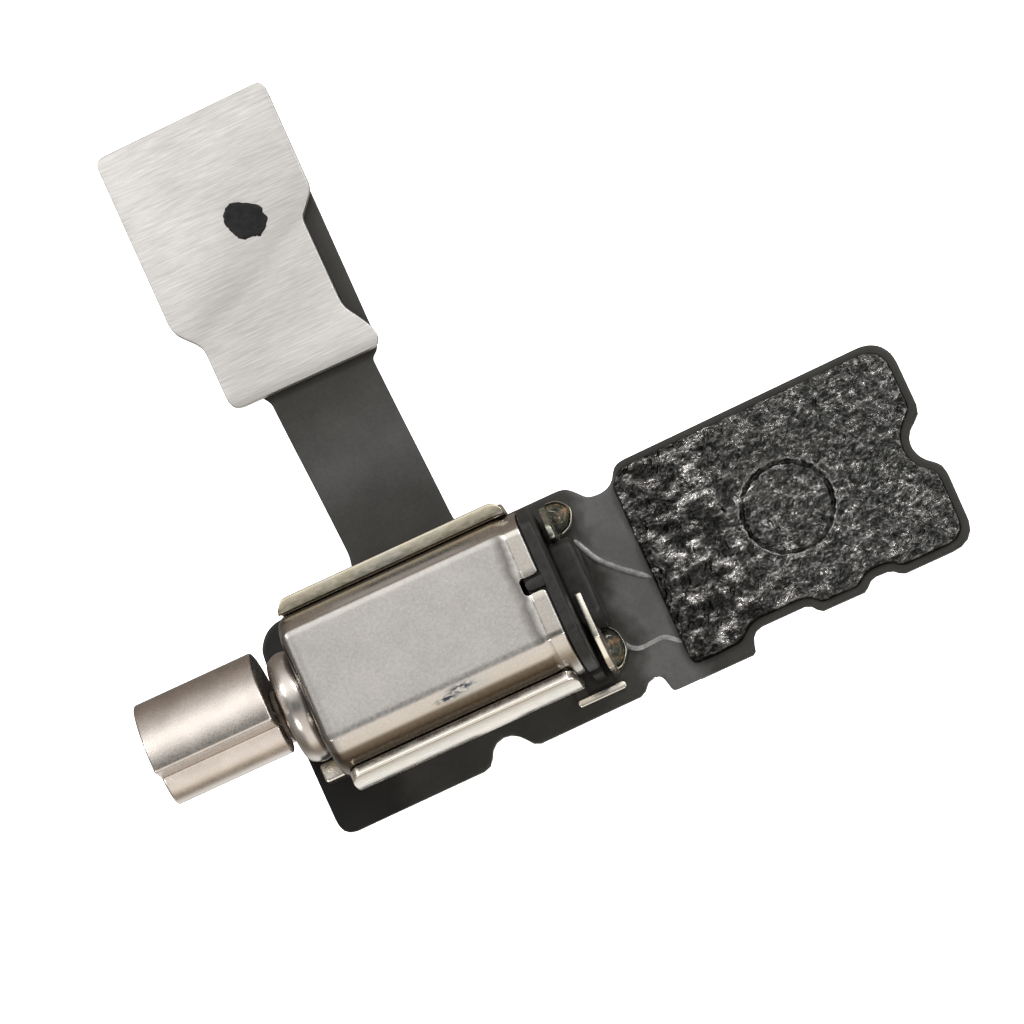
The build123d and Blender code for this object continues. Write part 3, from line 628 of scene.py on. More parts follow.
# black plastics
m = Mat("cap_black_moulding", (0.03, 0.03, 0.032), 0.0, 0.42, 0.26)
f = m.noise(5.0, 5, 0.6)
m.color(m.ramp(f, [(0.3, (0.010, 0.010, 0.010)), (0.7, (0.024, 0.023, 0.022))]))
m.rough(m.maprange(m.noise(16.0, 5, 0.65), 0.35, 0.65, 0.34, 0.52))
m.bump(m.noise(22.0, 5, 0.7), 0.006, 0.6)
CAP = m

m = Mat("connector_black_polymer", (0.06, 0.058, 0.055), 0.0, 0.45, 0.45)
m.color(m.ramp(m.noise(4.0, 4, 0.6), [(0.3, (0.045, 0.043, 0.04)), (0.7, (0.075, 0.072, 0.068))]))
m.rough(m.maprange(m.noise(18.0, 4, 0.6), 0.35, 0.65, 0.38, 0.55))
m.bump(m.noise(25.0, 4, 0.6), 0.004, 0.5)
LCP = m

# flex coverlay: black film with a slight sheen and faint laminate texture, with painted shade darkening it under the
# front of the motor, greyer over the neck, and a painted sheen making it paler where the tail is bent
m = Mat("flex_black_coverlay", (0.02, 0.02, 0.021), 0.0, 0.42, 0.22)
clouds = m.noise(0.8, 4, 0.55)
weave = m.noise(14.0, 5, 0.65)
f = m.math("ADD", m.math("MULTIPLY", clouds, 0.55), m.math("MULTIPLY", weave, 0.45))
dark = m.ramp(f, [(0.32, (0.005, 0.005, 0.005)), (0.68, (0.011, 0.011, 0.0105))])
mid = m.ramp(f, [(0.32, (0.020, 0.020, 0.018)), (0.68, (0.036, 0.035, 0.032))])
pale = m.ramp(f, [(0.32, (0.068, 0.068, 0.068)), (0.68, (0.105, 0.105, 0.105))])
sp = m.nt.nodes.new("ShaderNodeSeparateXYZ")
m.nt.links.new(m.tc.outputs["Object"], sp.inputs[0])
px = m.math("ADD", m.math("MULTIPLY", sp.outputs["X"], 1000.0), m.math("MULTIPLY", m.math("SUBTRACT", clouds, 0.5), 1.4))
py = m.math("MULTIPLY", sp.outputs["Y"], 1000.0)
left = m.maprange(px, -2.6, -2.0, 0, 1)
neck = m.math("MULTIPLY", m.maprange(px, 3.9, 4.3, 0, 1), m.maprange(px, 5.35, 4.95, 0, 1))
painted_bend_sheen = m.math("MULTIPLY", m.maprange(py, 3.0, 5.0, 0, 1), m.maprange(py, 7.0, 5.2, 0, 1))
# painted shade: darker towards the front, under the motor's nose
c = m.mix(left, dark, mid)
c = m.mix(neck, c, pale)
# painted sheen: paler across the bent part of the tail
c = m.mix(m.math("MULTIPLY", painted_bend_sheen, 0.62), c, pale)
m.color(c)
m.rough(m.maprange(weave, 0.35, 0.65, 0.36, 0.52))
m.bump(m.noise(9.0, 5, 0.6), 0.006, 0.5)
FLEX = m

# painted highlight: pale grey film for the trace ridges
m = Mat("trace_ridge_painted_highlight", (0.2, 0.2, 0.2), 0.0, 0.30, 0.6)
f = m.noise(5.0, 4, 0.6)
m.color(m.ramp(f, [(0.35, (0.12, 0.12, 0.12)), (0.65, (0.27, 0.27, 0.27))]))
m.rough(m.maprange(m.noise(12.0, 4, 0.6), 0.35, 0.65, 0.22, 0.40))
m.bump(m.noise(10.0, 4, 0.6), 0.003, 0.5)
RIDGE_HIGHLIGHT = m

m = Mat("film_stiffener", (0.03, 0.028, 0.024), 0.0, 0.45, 0.5)
m.color(m.ramp(m.noise(3.0, 4, 0.6), [(0.3, (0.025, 0.023, 0.02)), (0.7, (0.05, 0.045, 0.038))]))
m.rough(m.maprange(m.noise(14.0, 4, 0.6), 0.35, 0.65, 0.38, 0.52))
m.bump(m.noise(12.0, 4, 0.6), 0.004, 0.5)
FILM = m

m = Mat("adhesive_tape", (0.45, 0.43, 0.38), 0.0, 0.55, 0.4)
m.color(m.ramp(m.noise(2.5, 5, 0.65), [(0.3, (0.38, 0.36, 0.31)), (0.7, (0.52, 0.50, 0.45))]))
m.rough(m.maprange(m.noise(10.0, 4, 0.6), 0.35, 0.65, 0.45, 0.65))
m.bump(m.noise(8.0, 5, 0.65), 0.008, 0.6)
TAPE = m

# crumpled glossy film: brighter mirror patches painted in as glints between dull facets, coarser at the motor end
m = Mat("cover_crumpled_film", (0.03, 0.03, 0.03), 1.0, 0.16)
sp = m.nt.nodes.new("ShaderNodeSeparateXYZ")
m.nt.links.new(m.tc.outputs["Object"], sp.inputs[0])
px = m.math("MULTIPLY", sp.outputs["X"], 1000.0)
big = m.noise(2.1, 6, 0.66, (1.0, 1.7, 1.0))
small = m.noise(4.6, 6, 0.68, (1.0, 1.3, 1.0))
coarse_painted_glints = m.ramp(big, [(0.36, (0.012, 0.012, 0.012)), (0.47, (0.022, 0.022, 0.021)), (0.54, (0.072, 0.070, 0.068)), (0.60, (0.24, 0.235, 0.23)), (0.68, (0.50, 0.49, 0.48))])
fine_painted_glints = m.ramp(small, [(0.36, (0.016, 0.016, 0.016)), (0.47, (0.040, 0.040, 0.039)), (0.54, (0.080, 0.079, 0.077)), (0.60, (0.15, 0.148, 0.145)), (0.68, (0.27, 0.266, 0.262))])
c = m.mix(m.maprange(px, 7.0, 9.0, 0, 1), coarse_painted_glints, fine_painted_glints)
# painted shade in the embossed ring's groove and a painted highlight on the ridge just outside it
ring_groove_shade = m.math("SUBTRACT", m.sphere((8.55, -0.13, 0.3), 1.09, 0.02), m.sphere((8.55, -0.13, 0.3), 1.03, 0.02), clamp=True)
ring_ridge_highlight = m.math("SUBTRACT", m.sphere((8.55, -0.13, 0.3), 1.17, 0.02), m.sphere((8.55, -0.13, 0.3), 1.12, 0.02), clamp=True)
c = m.mix(m.math("MULTIPLY", ring_ridge_highlight, 0.45, clamp=True), c, (0.22, 0.218, 0.215))
c = m.mix(m.math("MULTIPLY", ring_groove_shade, 0.80, clamp=True), c, (0.010, 0.010, 0.010))
m.color(c)
m.rough(m.maprange(m.noise(9.0, 5, 0.65), 0.35, 0.65, 0.10, 0.24))
m.bump(big, 0.05, 0.7)
m.bump(m.noise(9.0, 4, 0.6), 0.006, 0.7)
COVER = m

m = Mat("marker_ink", (0.008, 0.008, 0.009), 0.0, 0.55, 0.18)
m.color(m.ramp(m.noise(6.0, 5, 0.65), [(0.3, (0.003, 0.003, 0.004)), (0.7, (0.013, 0.013, 0.013))]))
m.rough(m.maprange(m.noise(12.0, 5, 0.65), 0.35, 0.65, 0.28, 0.55))
m.bump(m.noise(14.0, 5, 0.7), 0.01, 0.8)
INK = m

m = Mat("washer_film", (0.10, 0.07, 0.05), 0.0, 0.25, 0.5)
m.color(m.ramp(m.noise(6.0, 4, 0.6), [(0.3, (0.06, 0.045, 0.035)), (0.7, (0.14, 0.10, 0.07))]))
m.rough(m.maprange(m.noise(10.0, 4, 0.6), 0.35, 0.65, 0.18, 0.32))
WASHER = m

# ---------------------------------------------------------------------- can
CAN_R, CAN_H, WALL = 2.05, 1.56, 0.15
X_FRONT, X_REAR = -3.17, 2.87
CROWN = 0.012


def d_section(d, R=CAN_R, H=CAN_H, roll=0.14, ra=0.12, nb=72):
    """Round-sided section with flats above and below, inset by d. The flats
    roll off by 15 degrees before a tighter bend into the round sides."""
    R, H = R - d, H - d
    a1 = math.radians(15)
    drop = roll * math.tan(a1 / 2)
    ct = (H - drop - ra * math.cos(a1)) / (R - ra)
    th = math.acos(ct)
    ya = R * math.sin(th) - ra * (math.sin(th) - math.sin(a1))
    y0 = ya - roll
    half = [(y0 * k / 6, H) for k in range(1, 7)]
    for k in range(1, 9):
        t = k / 8
        half.append((y0 + roll * t, H - roll * math.tan(a1 / 2) * t * t))
    for k in range(1, 7):
        a = a1 + (th - a1) * k / 6
        half.append((ya + ra * (math.sin(a) - math.sin(a1)), H - drop - ra * (math.cos(a1) - math.cos(a))))
    top = list(half)
    pol = math.pi / 2 - th
    half += arc(0, 0, R, math.degrees(pol), -math.degrees(pol), nb)[1:-1]
    half += [(y, -z) for y, z in reversed(top)]
    other = [(-y, z) for y, z in reversed(half)]
    return [(y, ZA + z) for y, z in half + other]


def d_ring(x, d, **k):
    return [(x, y, z) for y, z in d_section(d, **k)]


FR = 0.28
stations = []
for k in range(0, 13):
    t = math.pi / 2 * k / 12
    stations.append((X_FRONT + FR * (1 - math.sin(t)), FR * (1 - math.cos(t))))
stations = stations[::-1]
# stations now run from the front face's rim (inset FR) to the side
stations = [(X_FRONT + FR * (1 - math.cos(math.pi / 2 * k / 12)), FR * (1 - math.sin(math.pi / 2 * k / 12))) for k in range(13)]
body_x = [-2.5, -1.5, 0.0, 1.2, 2.0, 2.20]
stations += [(x, 0.0) for x in body_x]
STEP = 0.055
for k in range(1, 15):
    t = k / 14
    stations.append((2.20 + 0.30 * t, STEP * t ** 2.2))
stations += [(2.53, STEP), (2.62, STEP)]
RR = 0.09
stations += [(X_REAR - RR + RR * math.sin(math.pi / 2 * k / 6), STEP + RR * (1 - math.cos(math.pi / 2 * k / 6))) for k in range(7)]
stations += [(X_REAR - 0.004, 0.155), (X_REAR - 0.02, 0.162), (2.0, 0.162), (X_FRONT + WALL + 0.02, 0.162), (X_FRONT + WALL, 0.20)]
rings = [d_ring(x, d) for x, d in stations]
can = loft("motor_can_body", rings, CAN.m, angle=30)
# keyhole notch in the rear edge of the top flat
nw, nx = 0.205, 2.335
mouth = 0.17
key = []
key += [(3.1, nw + mouth + 0.02), (X_REAR + 0.012, nw + mouth + 0.02)]
key += arc(X_REAR - mouth + 0.012, nw + mouth, mouth, 0, -90, 8)
key += [(nx + 0.16, nw)]
key += arc(nx + 0.13, nw - 0.10, 0.115, 70, 180, 7)
key += arc(nx + 0.13, -nw + 0.10, 0.115, 180, 290, 7)
key += [(nx + 0.16, -nw)]
key += arc(X_REAR - mouth + 0.012, -nw - mouth, mouth, 90, 0, 8)
key += [(X_REAR + 0.012, -nw - mouth - 0.02), (3.1, -nw - mouth - 0.02)]
cutter = prism("cutter", key, "Z", ZA + 1.2, ZA + 1.9)
cut(can, cutter, 30)
bevel(can, 0.045, 4, 62, 30)
# painted highlight: the rear rim and the notch edges get the bright edge material
can.data.materials.append(EDGE_HIGHLIGHT.m)
for f in can.data.polygons:
    c = f.center / MM
    if c.z > ZA + 1.40 and (c.x > 2.80 or (c.x > 2.26 and abs(c.y) < 0.42)) and c.z - ZA < 1.515 and f.normal.z < 0.985:
        f.material_index = 1

prof = [(-3.00, 0.60), (-3.00, 1.20), (-3.16, 1.235)]
n0 = len(prof)
for k in range(0, 17):
    t = k / 16
    x = -3.18 + (-3.70 + 3.18) * t
    r = 1.265 + 0.09 * math.sin(math.pi * min(1, t * 1.02)) ** 0.8
    prof.append((x, r))
prof += [(-3.735, 1.243), (-3.765, 1.205), (-3.788, 1.155), (-3.802, 1.10), (-3.81, 1.04), (-3.81, 0.82)]
prof += [(-3.805, 0.785), (-3.79, 0.765), (-3.77, 0.755), (-3.66, 0.75), (-3.66, 0.60)]
nose = revolve("motor_can_nose", prof, NOSE.m, 144, angle=40)
can = join("motor_can_shell", [can, nose])
put(can, "base", ("motor_can",))

fb = revolve("front_bush", [(-3.30, 0.33), (-3.30, 0.745), (-3.765, 0.745), (-3.785, 0.73), (-3.79, 0.71), (-3.79, 0.37), (-3.78, 0.34), (-3.76, 0.33)], BRONZE.m, 96)
put(fb, "base", ("front_bearing",))

# ------------------------------------------------------------------- holder
AR0, AR1, ATIP = 2.068, 2.32, 19.8
HX0, HX1, CX, CZ = -3.01, 2.64, 0.27, 0.40


def holder_ring(x, tip_deg, inset):
    ro, ri = AR1 - inset, AR0 + inset
    z0, zf = -ZA + 0.18 + inset, -ZA + 0.33 - inset
    rt = 0.035
    ab = -math.degrees(math.asin(-z0 / ro))
    ai = -math.degrees(math.asin(-zf / ri))
    tip = tip_deg - math.degrees(inset / ro)
    to, ti = tip - math.degrees(rt / ro), tip - math.degrees(rt / ri)
    half = []
    for k in range(9):
        half.append((ro * math.cos(math.radians(ab)) * k / 9, z0))
    half += arc(0, 0, ro, ab, to, 44)
    co, ci = math.cos(math.radians(to)), math.cos(math.radians(ti))
    so, si = math.sin(math.radians(to)), math.sin(math.radians(ti))
    half += arc((ro - rt) * co, (ro - rt) * so, rt, to, to + 90, 5)[1:]
    half += arc((ri + rt) * ci, (ri + rt) * si, rt, ti + 90, ti + 180, 5)[:-1]
    half += arc(0, 0, ri, ti, ai, 44)
    for k in range(9, 0, -1):
        half.append((ri * math.cos(math.radians(ai)) * k / 9 * 0.999, zf))
    half.append((0.0, zf))
    other = [(-y, z) for y, z in half[1:-1]][::-1]
    return [(x, y, ZA + z) for y, z in half + other]


def tip_at(x):
    d = min(x - HX0, HX1 - x)
    if d >= CX:
        return ATIP
    return ATIP - math.degrees(CZ * (1 - math.sqrt(max(1 - (1 - d / CX) ** 2, 0))) / 2.24)


hs = []
e = 0.03
for x, inn in ((HX0, e), (HX0 + e * 0.29, e * 0.29), (HX0 + e, 0.0)):
    hs.append((x, inn))
for k in range(1, 11):
    hs.append((HX0 + e + (CX - e) * (k / 10) ** 1.5, 0.0))
hs += [(x, 0.0) for x in (-2.0, -1.0, 0.0, 1.0, 2.0)]
for k in range(0, 11):
    hs.append((HX1 - e - (CX - e) * ((10 - k) / 10) ** 1.5, 0.0))
for x, inn in ((HX1 - e * 0.29, e * 0.29), (HX1, e)):
    hs.append((x, inn))
rings = [holder_ring(x, tip_at(x), inn) for x, inn in hs]
holder = loft("holder_shell", rings, HOLDER.m, angle=40)
LR, LX0 = 0.33, -3.03


def lip_ring(x):
    """The lip narrows in a quarter round at each end and is slightly crowned."""
    d = min(x - LX0, HX1 - x)
    cutb = 0.0 if d >= LR else LR - math.sqrt(max(LR * LR - (LR - d) ** 2, 0))
    y0, y1 = 1.975, 2.325 - cutb
    y1 = max(y1, y0 + 0.012)
    w = y1 - y0
    e_ = min(0.045, w * 0.3)
    up, dn = [], []
    for k in range(13):
        t = k / 12
        y = y0 + w * t
        u_ = min(t, 1 - t) * w
        rnd = e_ - math.sqrt(max(e_ * e_ - (e_ - min(u_, e_)) ** 2, 0))
        up.append((y, 2.70 - rnd - 0.030 * (1 - t) ** 2))
        dn.append((y, 2.575 + rnd * 0.8))
    return [(x, y, z) for y, z in up + dn[::-1]]


lx = [LX0 + LR * (k / 14) ** 1.7 for k in range(15)] + [-2.0, -1.0, 0.0, 1.0, 2.0]
lx += [HX1 - LR * ((14 - k) / 14) ** 1.7 for k in range(15)]
lip = loft("holder_lip", [lip_ring(x) for x in lx], HOLDER.m, angle=50)
tab = prism("holder_tab", round_rect(-3.40, -1.36, 0.72, 0.46, 0.08), "Z", 0.19, 0.56, HOLDER.m, 0.05, 3)
foot = prism("holder_foot", round_rect(2.88, -2.33, 1.20, 0.18, 0.08), "Z", 0.18, 0.31, HOLDER.m, 0.03, 3)
# painted shade: this steel foot under the end cap takes the black coverlay material where it lies in shadow
foot2 = prism("holder_foot2", round_rect(2.45, -1.93, 0.30, 0.78, 0.05), "Z", 0.18, 0.26, FLEX.m, 0.02, 2)
holder = join("holder_body", [holder, lip, tab, foot, foot2])
put(holder, "base", ("motor_holder",))

# ------------------------------------------------------------------- weight
WR, WC, HR = 1.617, -0.36, 0.875
a1 = math.degrees(math.acos(WC / WR))
a2 = math.degrees(math.acos(WC / HR))


def weight_section():
    rc = 0.08
    # rounded corner between the big arc and the cut face
    yc = WC + rc
    zc = math.sqrt((WR - rc) ** 2 - yc ** 2)
    ac = math.degrees(math.atan2(zc, yc))
    top = arc(0, 0, WR, 0, ac, 60)
    top += arc(yc, zc, rc, ac, 180, 8)[1:]
    # concave corner at the hub
    rf = 0.07
    yf = WC - rf
    zf = math.sqrt((HR + rf) ** 2 - yf ** 2)
    af = math.degrees(math.atan2(zf, yf))
    top += arc(yf, zf, rf, 0, -(180 - af), 7)
    top += arc(0, 0, HR, af, 180, 30)[1:]
    low = [(y, -z) for y, z in top[1:-1]][::-1]
    return top + low


def offset(pts, d):
    n = len(pts)
    out = []
    for i in range(n):
        p0, p, p1 = Vector(pts[i - 1]), Vector(pts[i]), Vector(pts[(i + 1) % n])
        t = ((p - p0).normalized() + (p1 - p).normalized()).normalized()
        nrm = Vector((-t.y, t.x))
        out.append((p.x + nrm.x * d, p.y + nrm.y * d))
    return out


sec = weight_section()
BW = 0.055
ws = []
for k in range(6):
    t = math.pi / 2 * k / 5
    ws.append((-6.96 + BW * (1 - math.sin(t)), BW * (1 - math.cos(t))))
ws = [(-6.96 + BW * (1 - math.cos(math.pi / 2 * k / 5)), BW * (1 - math.sin(math.pi / 2 * k / 5))) for k in range(6)]
ws += [(-6.2, 0), (-5.5, 0), (-4.8, 0)]
ws += [(-4.02 - BW + BW * math.sin(math.pi / 2 * k / 5), BW * (1 - math.cos(math.pi / 2 * k / 5))) for k in range(6)]
rings = []
for x, d in ws:
    o = offset(sec, d) if d > 1e-6 else sec
    rings.append([(x, y, ZA + z) for y, z in o])
weight = loft("weight_body", rings, WEIGHT.m, angle=32)
bore = revolve("bore", [(-7.2, 0.0001), (-7.2, 0.302), (-3.8, 0.302), (-3.8, 0.0001)], None, 72)
cut(weight, bore, 32)
bevel(weight, 0.02, 2, 60, 32)
put(weight, "rotor", ("eccentric_weight",))

sh = revolve("shaft_rod", [(-6.90, 0.0001), (-6.90, 0.24), (-6.88, 0.27), (-6.84, 0.30), (2.57, 0.30), (2.61, 0.27), (2.62, 0.24), (2.62, 0.0001)], SHAFT.m, 72)
put(sh, "rotor", ("shaft",))
wa = revolve("slip_washer", [(-4.008, 0.305), (-4.008, 0.56), (-3.995, 0.59), (-3.97, 0.60), (-3.90, 0.60), (-3.875, 0.59), (-3.862, 0.56), (-3.862, 0.305)], WASHER.m, 72)
put(wa, "rotor", ("thrust_washer",))

# ------------------------------------------------------------------ end cap
def c_ring(x, d):
    return d_ring(x, d, R=2.03, H=1.53)


cs = [(2.876, 0.05), (2.885, 0.012), (2.90, 0.0), (3.02, 0.0)]
cs += [(3.17 - 0.08 + 0.08 * math.sin(math.pi / 2 * k / 5), 0.08 * (1 - math.cos(math.pi / 2 * k / 5))) for k in range(6)]
plate = loft("cap_plate", [c_ring(x, d) for x, d in cs], CAP.m, angle=40)
plug = loft("cap_plug", [d_ring(2.45, 0.19), d_ring(2.47, 0.17), d_ring(2.90, 0.17)], CAP.m, angle=40)
tabo = rounded([(2.45, -0.13), (3.0, -0.13), (3.0, 0.13), (2.45, 0.13)], 0.09, 3)
tab = prism("cap_tab", tabo, "Z", ZA + 1.30, ZA + 1.51, CAP.m, 0.025, 3)
boss = prism("cap_boss", round_rect(0.06, 1.05, 2.06, 1.70, 0.30, 8), "X", 3.12, 3.75, CAP.m, 0.14, 6, bang=50)
feet = [prism("cap_foot%d" % k, round_rect(3.02, s * 1.90, 0.27, 0.32, 0.05), "Z", 0.185, 1.20, CAP.m, 0.03, 2) for k, s in enumerate((-1, 1))]
cap = join("end_cap_body", [plate, plug, tab, boss] + feet)
put(cap, "base", ("end_cap",))

# ---------------------------------------------------------------- terminals
tp = rounded([(1.24, Z_TOP), (2.06, Z_TOP), (2.06, 1.25), (1.86, 1.55), (1.42, 2.02), (1.10, 2.02), (1.10, 1.60), (1.24, 1.45)], 0.05, 2)
t1 = prism("term_a", tp, "X", 3.31, 3.46, TIN.m, 0.03, 3)
t1b = prism("term_a2", round_rect(1.22, ZA - 0.05, 0.30, 0.08, 0.02, 3), "X", 2.43, 3.17, TIN.m)
t1 = join("terminal_upper", [t1, t1b])
# painted shade: the upper terminal takes the darker tin
t1.data.materials[0] = TIN_PAINTED_SHADE.m
put(t1, "base", ("terminal_pos",))
tn = rounded([(-0.98, Z_TOP), (-0.98, 0.9), (-1.06, 1.0), (-1.06, 1.80), (-1.02, 1.92), (-0.30, 1.92), (-0.30, 2.02), (-1.42, 2.02), (-1.86, 1.60), (-2.06, 1.25), (-2.06, Z_TOP)], 0.04, 2)
t2 = prism("term_b", tn, "X", 3.31, 3.46, TIN.m, 0.03, 3)
t2b = prism("term_b2", round_rect(-1.22, ZA - 0.05, 0.30, 0.08, 0.02, 3), "X", 2.43, 3.17, TIN.m)
t2 = join("terminal_lower", [t2, t2b])
put(t2, "base", ("terminal_neg",))

# ------------------------------------------------------------------- solder
def solder(name, cx, cy, ax, ay, h, seed, node):
    """A D-shaped bead: a bright raised rim round a sagging dome, whose middle is painted dark as a reflection."""
    nr, na = 34, 72
    verts, faces, fm_ = [], [], []
    for i in range(nr + 1):
        t = i / nr
        for k in range(na + 1):
            a = -math.pi / 2 + math.pi * k / na
            wob = 1 + 0.025 * math.sin(3 * a + seed) + 0.015 * math.sin(7 * a + 2 * seed)
            x = cx + ax * t * math.cos(a) * wob
            y = cy + ay * t * math.sin(a) * wob
            dome = 0.80 * math.sqrt(max(0.0, 1 - (t / 0.90) ** 2)) if t < 0.90 else 0.0
            sag = 0.12 * math.exp(-((t - 0.35) / 0.22) ** 2) * (1 + 0.5 * math.sin(2 * a + seed))
            rim = 0.36 * math.sqrt(max(0.0, 1 - ((t - 0.915) / 0.085) ** 2)) if t > 0.83 else 0.0
            z = Z_TOP + 0.012 + h * max(dome - sag, rim, 0.0)
            if i == nr:
                z = Z_TOP + 0.001
            verts.append((x, y, z))
    for i in range(nr):
        for k in range(na):
            a, b = i * (na + 1) + k, (i + 1) * (na + 1) + k
            faces.append((a, b, b + 1, a + 1))
            fm_.append(0 if (i + 0.5) / nr > 0.84 else 1)
    rim = [nr * (na + 1) + k for k in range(na + 1)]
    left = [i * (na + 1) + na for i in range(nr + 1)]
    right = [i * (na + 1) for i in range(nr + 1)]
    verts.append((cx, cy, Z_TOP + 0.001))
    c = len(verts) - 1
    for k in range(na):
        faces.append((rim[k + 1], rim[k], c))
    for i in range(nr):
        faces.append((left[i], left[i + 1], c))
        faces.append((right[i + 1], right[i], c))
    ob = mesh_obj(name, verts, faces, SOLDER.m, 60)
    # painted reflection: the middle of the bead gets the dark glossy material
    ob.data.materials.append(SOLDER_DARK_REFLECTION.m)
    for f in ob.data.polygons:
        q = f.center / MM
        t = math.hypot((q.x - cx) / ax, (q.y - cy) / ay)
        f.material_index = 1 if t < 0.85 else 0
    put(ob, "base", (node,))
    return ob


solder("solder_fillet_a", 3.455, 1.90, 0.52, 0.45, 0.60, 0.4, "solder_pos")
solder("solder_fillet_b", 3.455, -1.42, 0.40, 0.58, 0.60, 1.9, "solder_neg")

# ---------------------------------------------------------------- flex sheet
BASE_L = [
    (-1.70, 2.52), (-3.27, 2.50), (-3.50, 2.46), (-3.73, 2.34), (-3.89, 2.15), (-3.98, 1.98), (-4.02, 1.50),
    (-3.95, -2.40), (-3.93, -2.56), (-3.87, -2.69), (-3.76, -2.78), (-3.60, -2.82),
    (-0.34, -2.80), (-0.16, -2.74), (-0.06, -2.60), (0.04, -2.42), (0.18, -2.30), (0.38, -2.25), (0.56, -2.28),
    (0.72, -2.38), (0.86, -2.54), (0.96, -2.68), (1.12, -2.75), (3.66, -2.73), (3.80, -2.66), (3.95, -2.49),
    (4.13, -2.44), (4.29, -2.50), (4.35, -2.70), (4.38, -2.86), (4.43, -2.93), (4.55, -2.94),
    (6.42, -2.94), (6.50, -2.88), (6.54, -2.72), (6.60, -2.56), (6.70, -2.46), (6.86, -2.41),
    (7.95, -2.41), (8.09, -2.47), (8.18, -2.59), (8.30, -2.68), (9.34, -2.69), (9.46, -2.61), (9.58, -2.50), (9.72, -2.46),
    (10.00, -2.47), (10.14, -2.52), (10.24, -2.61), (10.38, -2.68), (11.56, -2.68), (11.80, -2.65), (12.00, -2.55),
    (12.14, -2.38), (12.20, -2.16), (12.22, -0.94), (12.17, -0.72), (12.04, -0.58), (11.87, -0.44), (11.75, -0.23),
    (11.71, -0.02), (11.75, 0.18), (11.85, 0.34), (12.02, 0.48), (12.17, 0.62), (12.23, 0.84),
    (12.23, 1.95), (12.19, 2.20), (12.06, 2.42), (11.85, 2.57), (11.60, 2.63),
    (5.48, 2.55), (5.32, 2.51), (5.20, 2.40), (5.10, 2.22), (5.00, 2.13), (4.86, 2.06), (4.64, 2.04), (4.46, 2.07),
    (4.35, 2.14), (4.20, 2.33), (4.03, 2.48), (3.86, 2.52), (1.80, 2.52),
]
flex_outline = BASE_L
TRACE_A = [(3.72, 1.30), (3.86, 0.98), (4.04, 0.64), (4.28, 0.36), (4.62, 0.05), (5.02, -0.28)]
TRACE_B = [(3.70, -1.20), (3.80, -1.42), (3.94, -1.61), (4.17, -1.70), (4.64, -1.68), (4.87, -1.80), (5.05, -1.98)]
TRACE_C = [(3.76, 1.02), (3.82, 0.62)]


def flex_top(x, y, d):
    r = np.zeros_like(x)
    r += 0.030 * np.exp(-(seg_dist(x, y, TRACE_A) / 0.055) ** 2)
    r += 0.026 * np.exp(-(seg_dist(x, y, TRACE_B) / 0.055) ** 2)
    r += 0.018 * np.exp(-(seg_dist(x, y, TRACE_C) / 0.045) ** 2)
    # the copper under the coverlay between the two traces stands a little proud
    r += 0.012 * smooth(3.5, 3.8, x) * smooth(5.1, 4.9, x) * smooth(-0.1, 0.1, fbm(x * 0.9, y * 0.9, 3, 5) + 0.05)
    r += 0.0035 * fbm(x * 1.7, y * 1.7, 3, 11)
    edge = 0.02 * (1 - np.sqrt(np.clip(1 - (1 - np.clip(d / 0.03, 0, 1)) ** 2, 0, 1)))
    return Z_TOP + r * smooth(0, 0.12, d) - edge


def flex_bottom(x, y, d):
    return np.full_like(x, 0.10) + 0.012 * (1 - np.clip(d / 0.03, 0, 1))


gx = np.concatenate([np.arange(-4.2, 3.3, 0.10), np.arange(3.3, 5.15, 0.035), np.arange(5.15, 12.4, 0.10)])
gy = np.concatenate([np.arange(-3.1, 2.75, 0.05)])
flex = sheet_grid("flex_main", rounded(flex_outline, 0.06, 2), 0.05, flex_top, flex_bottom, FLEX.m, xs=None, ys=None, angle=60)
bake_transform(flex)
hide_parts("flex_base", "neck_flex", "pad_flex")

# raised copper runs under the coverlay, as thin beads along the neck, painted pale grey as the highlight along each
# ridge
def bead(name, pts, r, sink, mat):
    pv = [Vector((x, y, 0)) for x, y in pts]
    fine_ = []
    for i in range(len(pv) - 1):
        p0, p1, p2, p3 = pv[max(i - 1, 0)], pv[i], pv[i + 1], pv[min(i + 2, len(pv) - 1)]
        for k in range(12):
            t = k / 12
            fine_.append(0.5 * ((2 * p1) + (p2 - p0) * t + (2 * p0 - 5 * p1 + 4 * p2 - p3) * t * t + (3 * p1 - p0 - 3 * p2 + p3) * t ** 3))
    fine_.append(pv[-1])
    rings_ = []
    for i, c in enumerate(fine_):
        d = (fine_[min(i + 1, len(fine_) - 1)] - fine_[max(i - 1, 0)]).normalized()
        nrm = Vector((-d.y, d.x, 0))
        w = r * min(1.0, 0.25 + min(i, len(fine_) - 1 - i) * 0.12)
        rings_.append([(c.x + nrm.x * w * 1.5 * math.cos(a), c.y + nrm.y * w * 1.5 * math.cos(a), Z_TOP + sink + w * math.sin(a)) for a in [2 * math.pi * k / 14 for k in range(14)]])
    ob = loft(name, rings_, mat, angle=60)
    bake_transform(ob)
    return ob


bead("trace_ridge_a", TRACE_A, 0.046, 0.018, RIDGE_HIGHLIGHT.m)
bead("trace_ridge_b", TRACE_B, 0.040, 0.016, RIDGE_HIGHLIGHT.m)

# ---------------------------------------------------------------- flex tail
TY0, TY1, RISE = 3.20, 7.15, 0.62


def tail_z(y):
    t = np.clip((y - TY0) / (TY1 - TY0), 0, 1)
    return RISE * (1 - np.cos(math.pi * t)) / 2


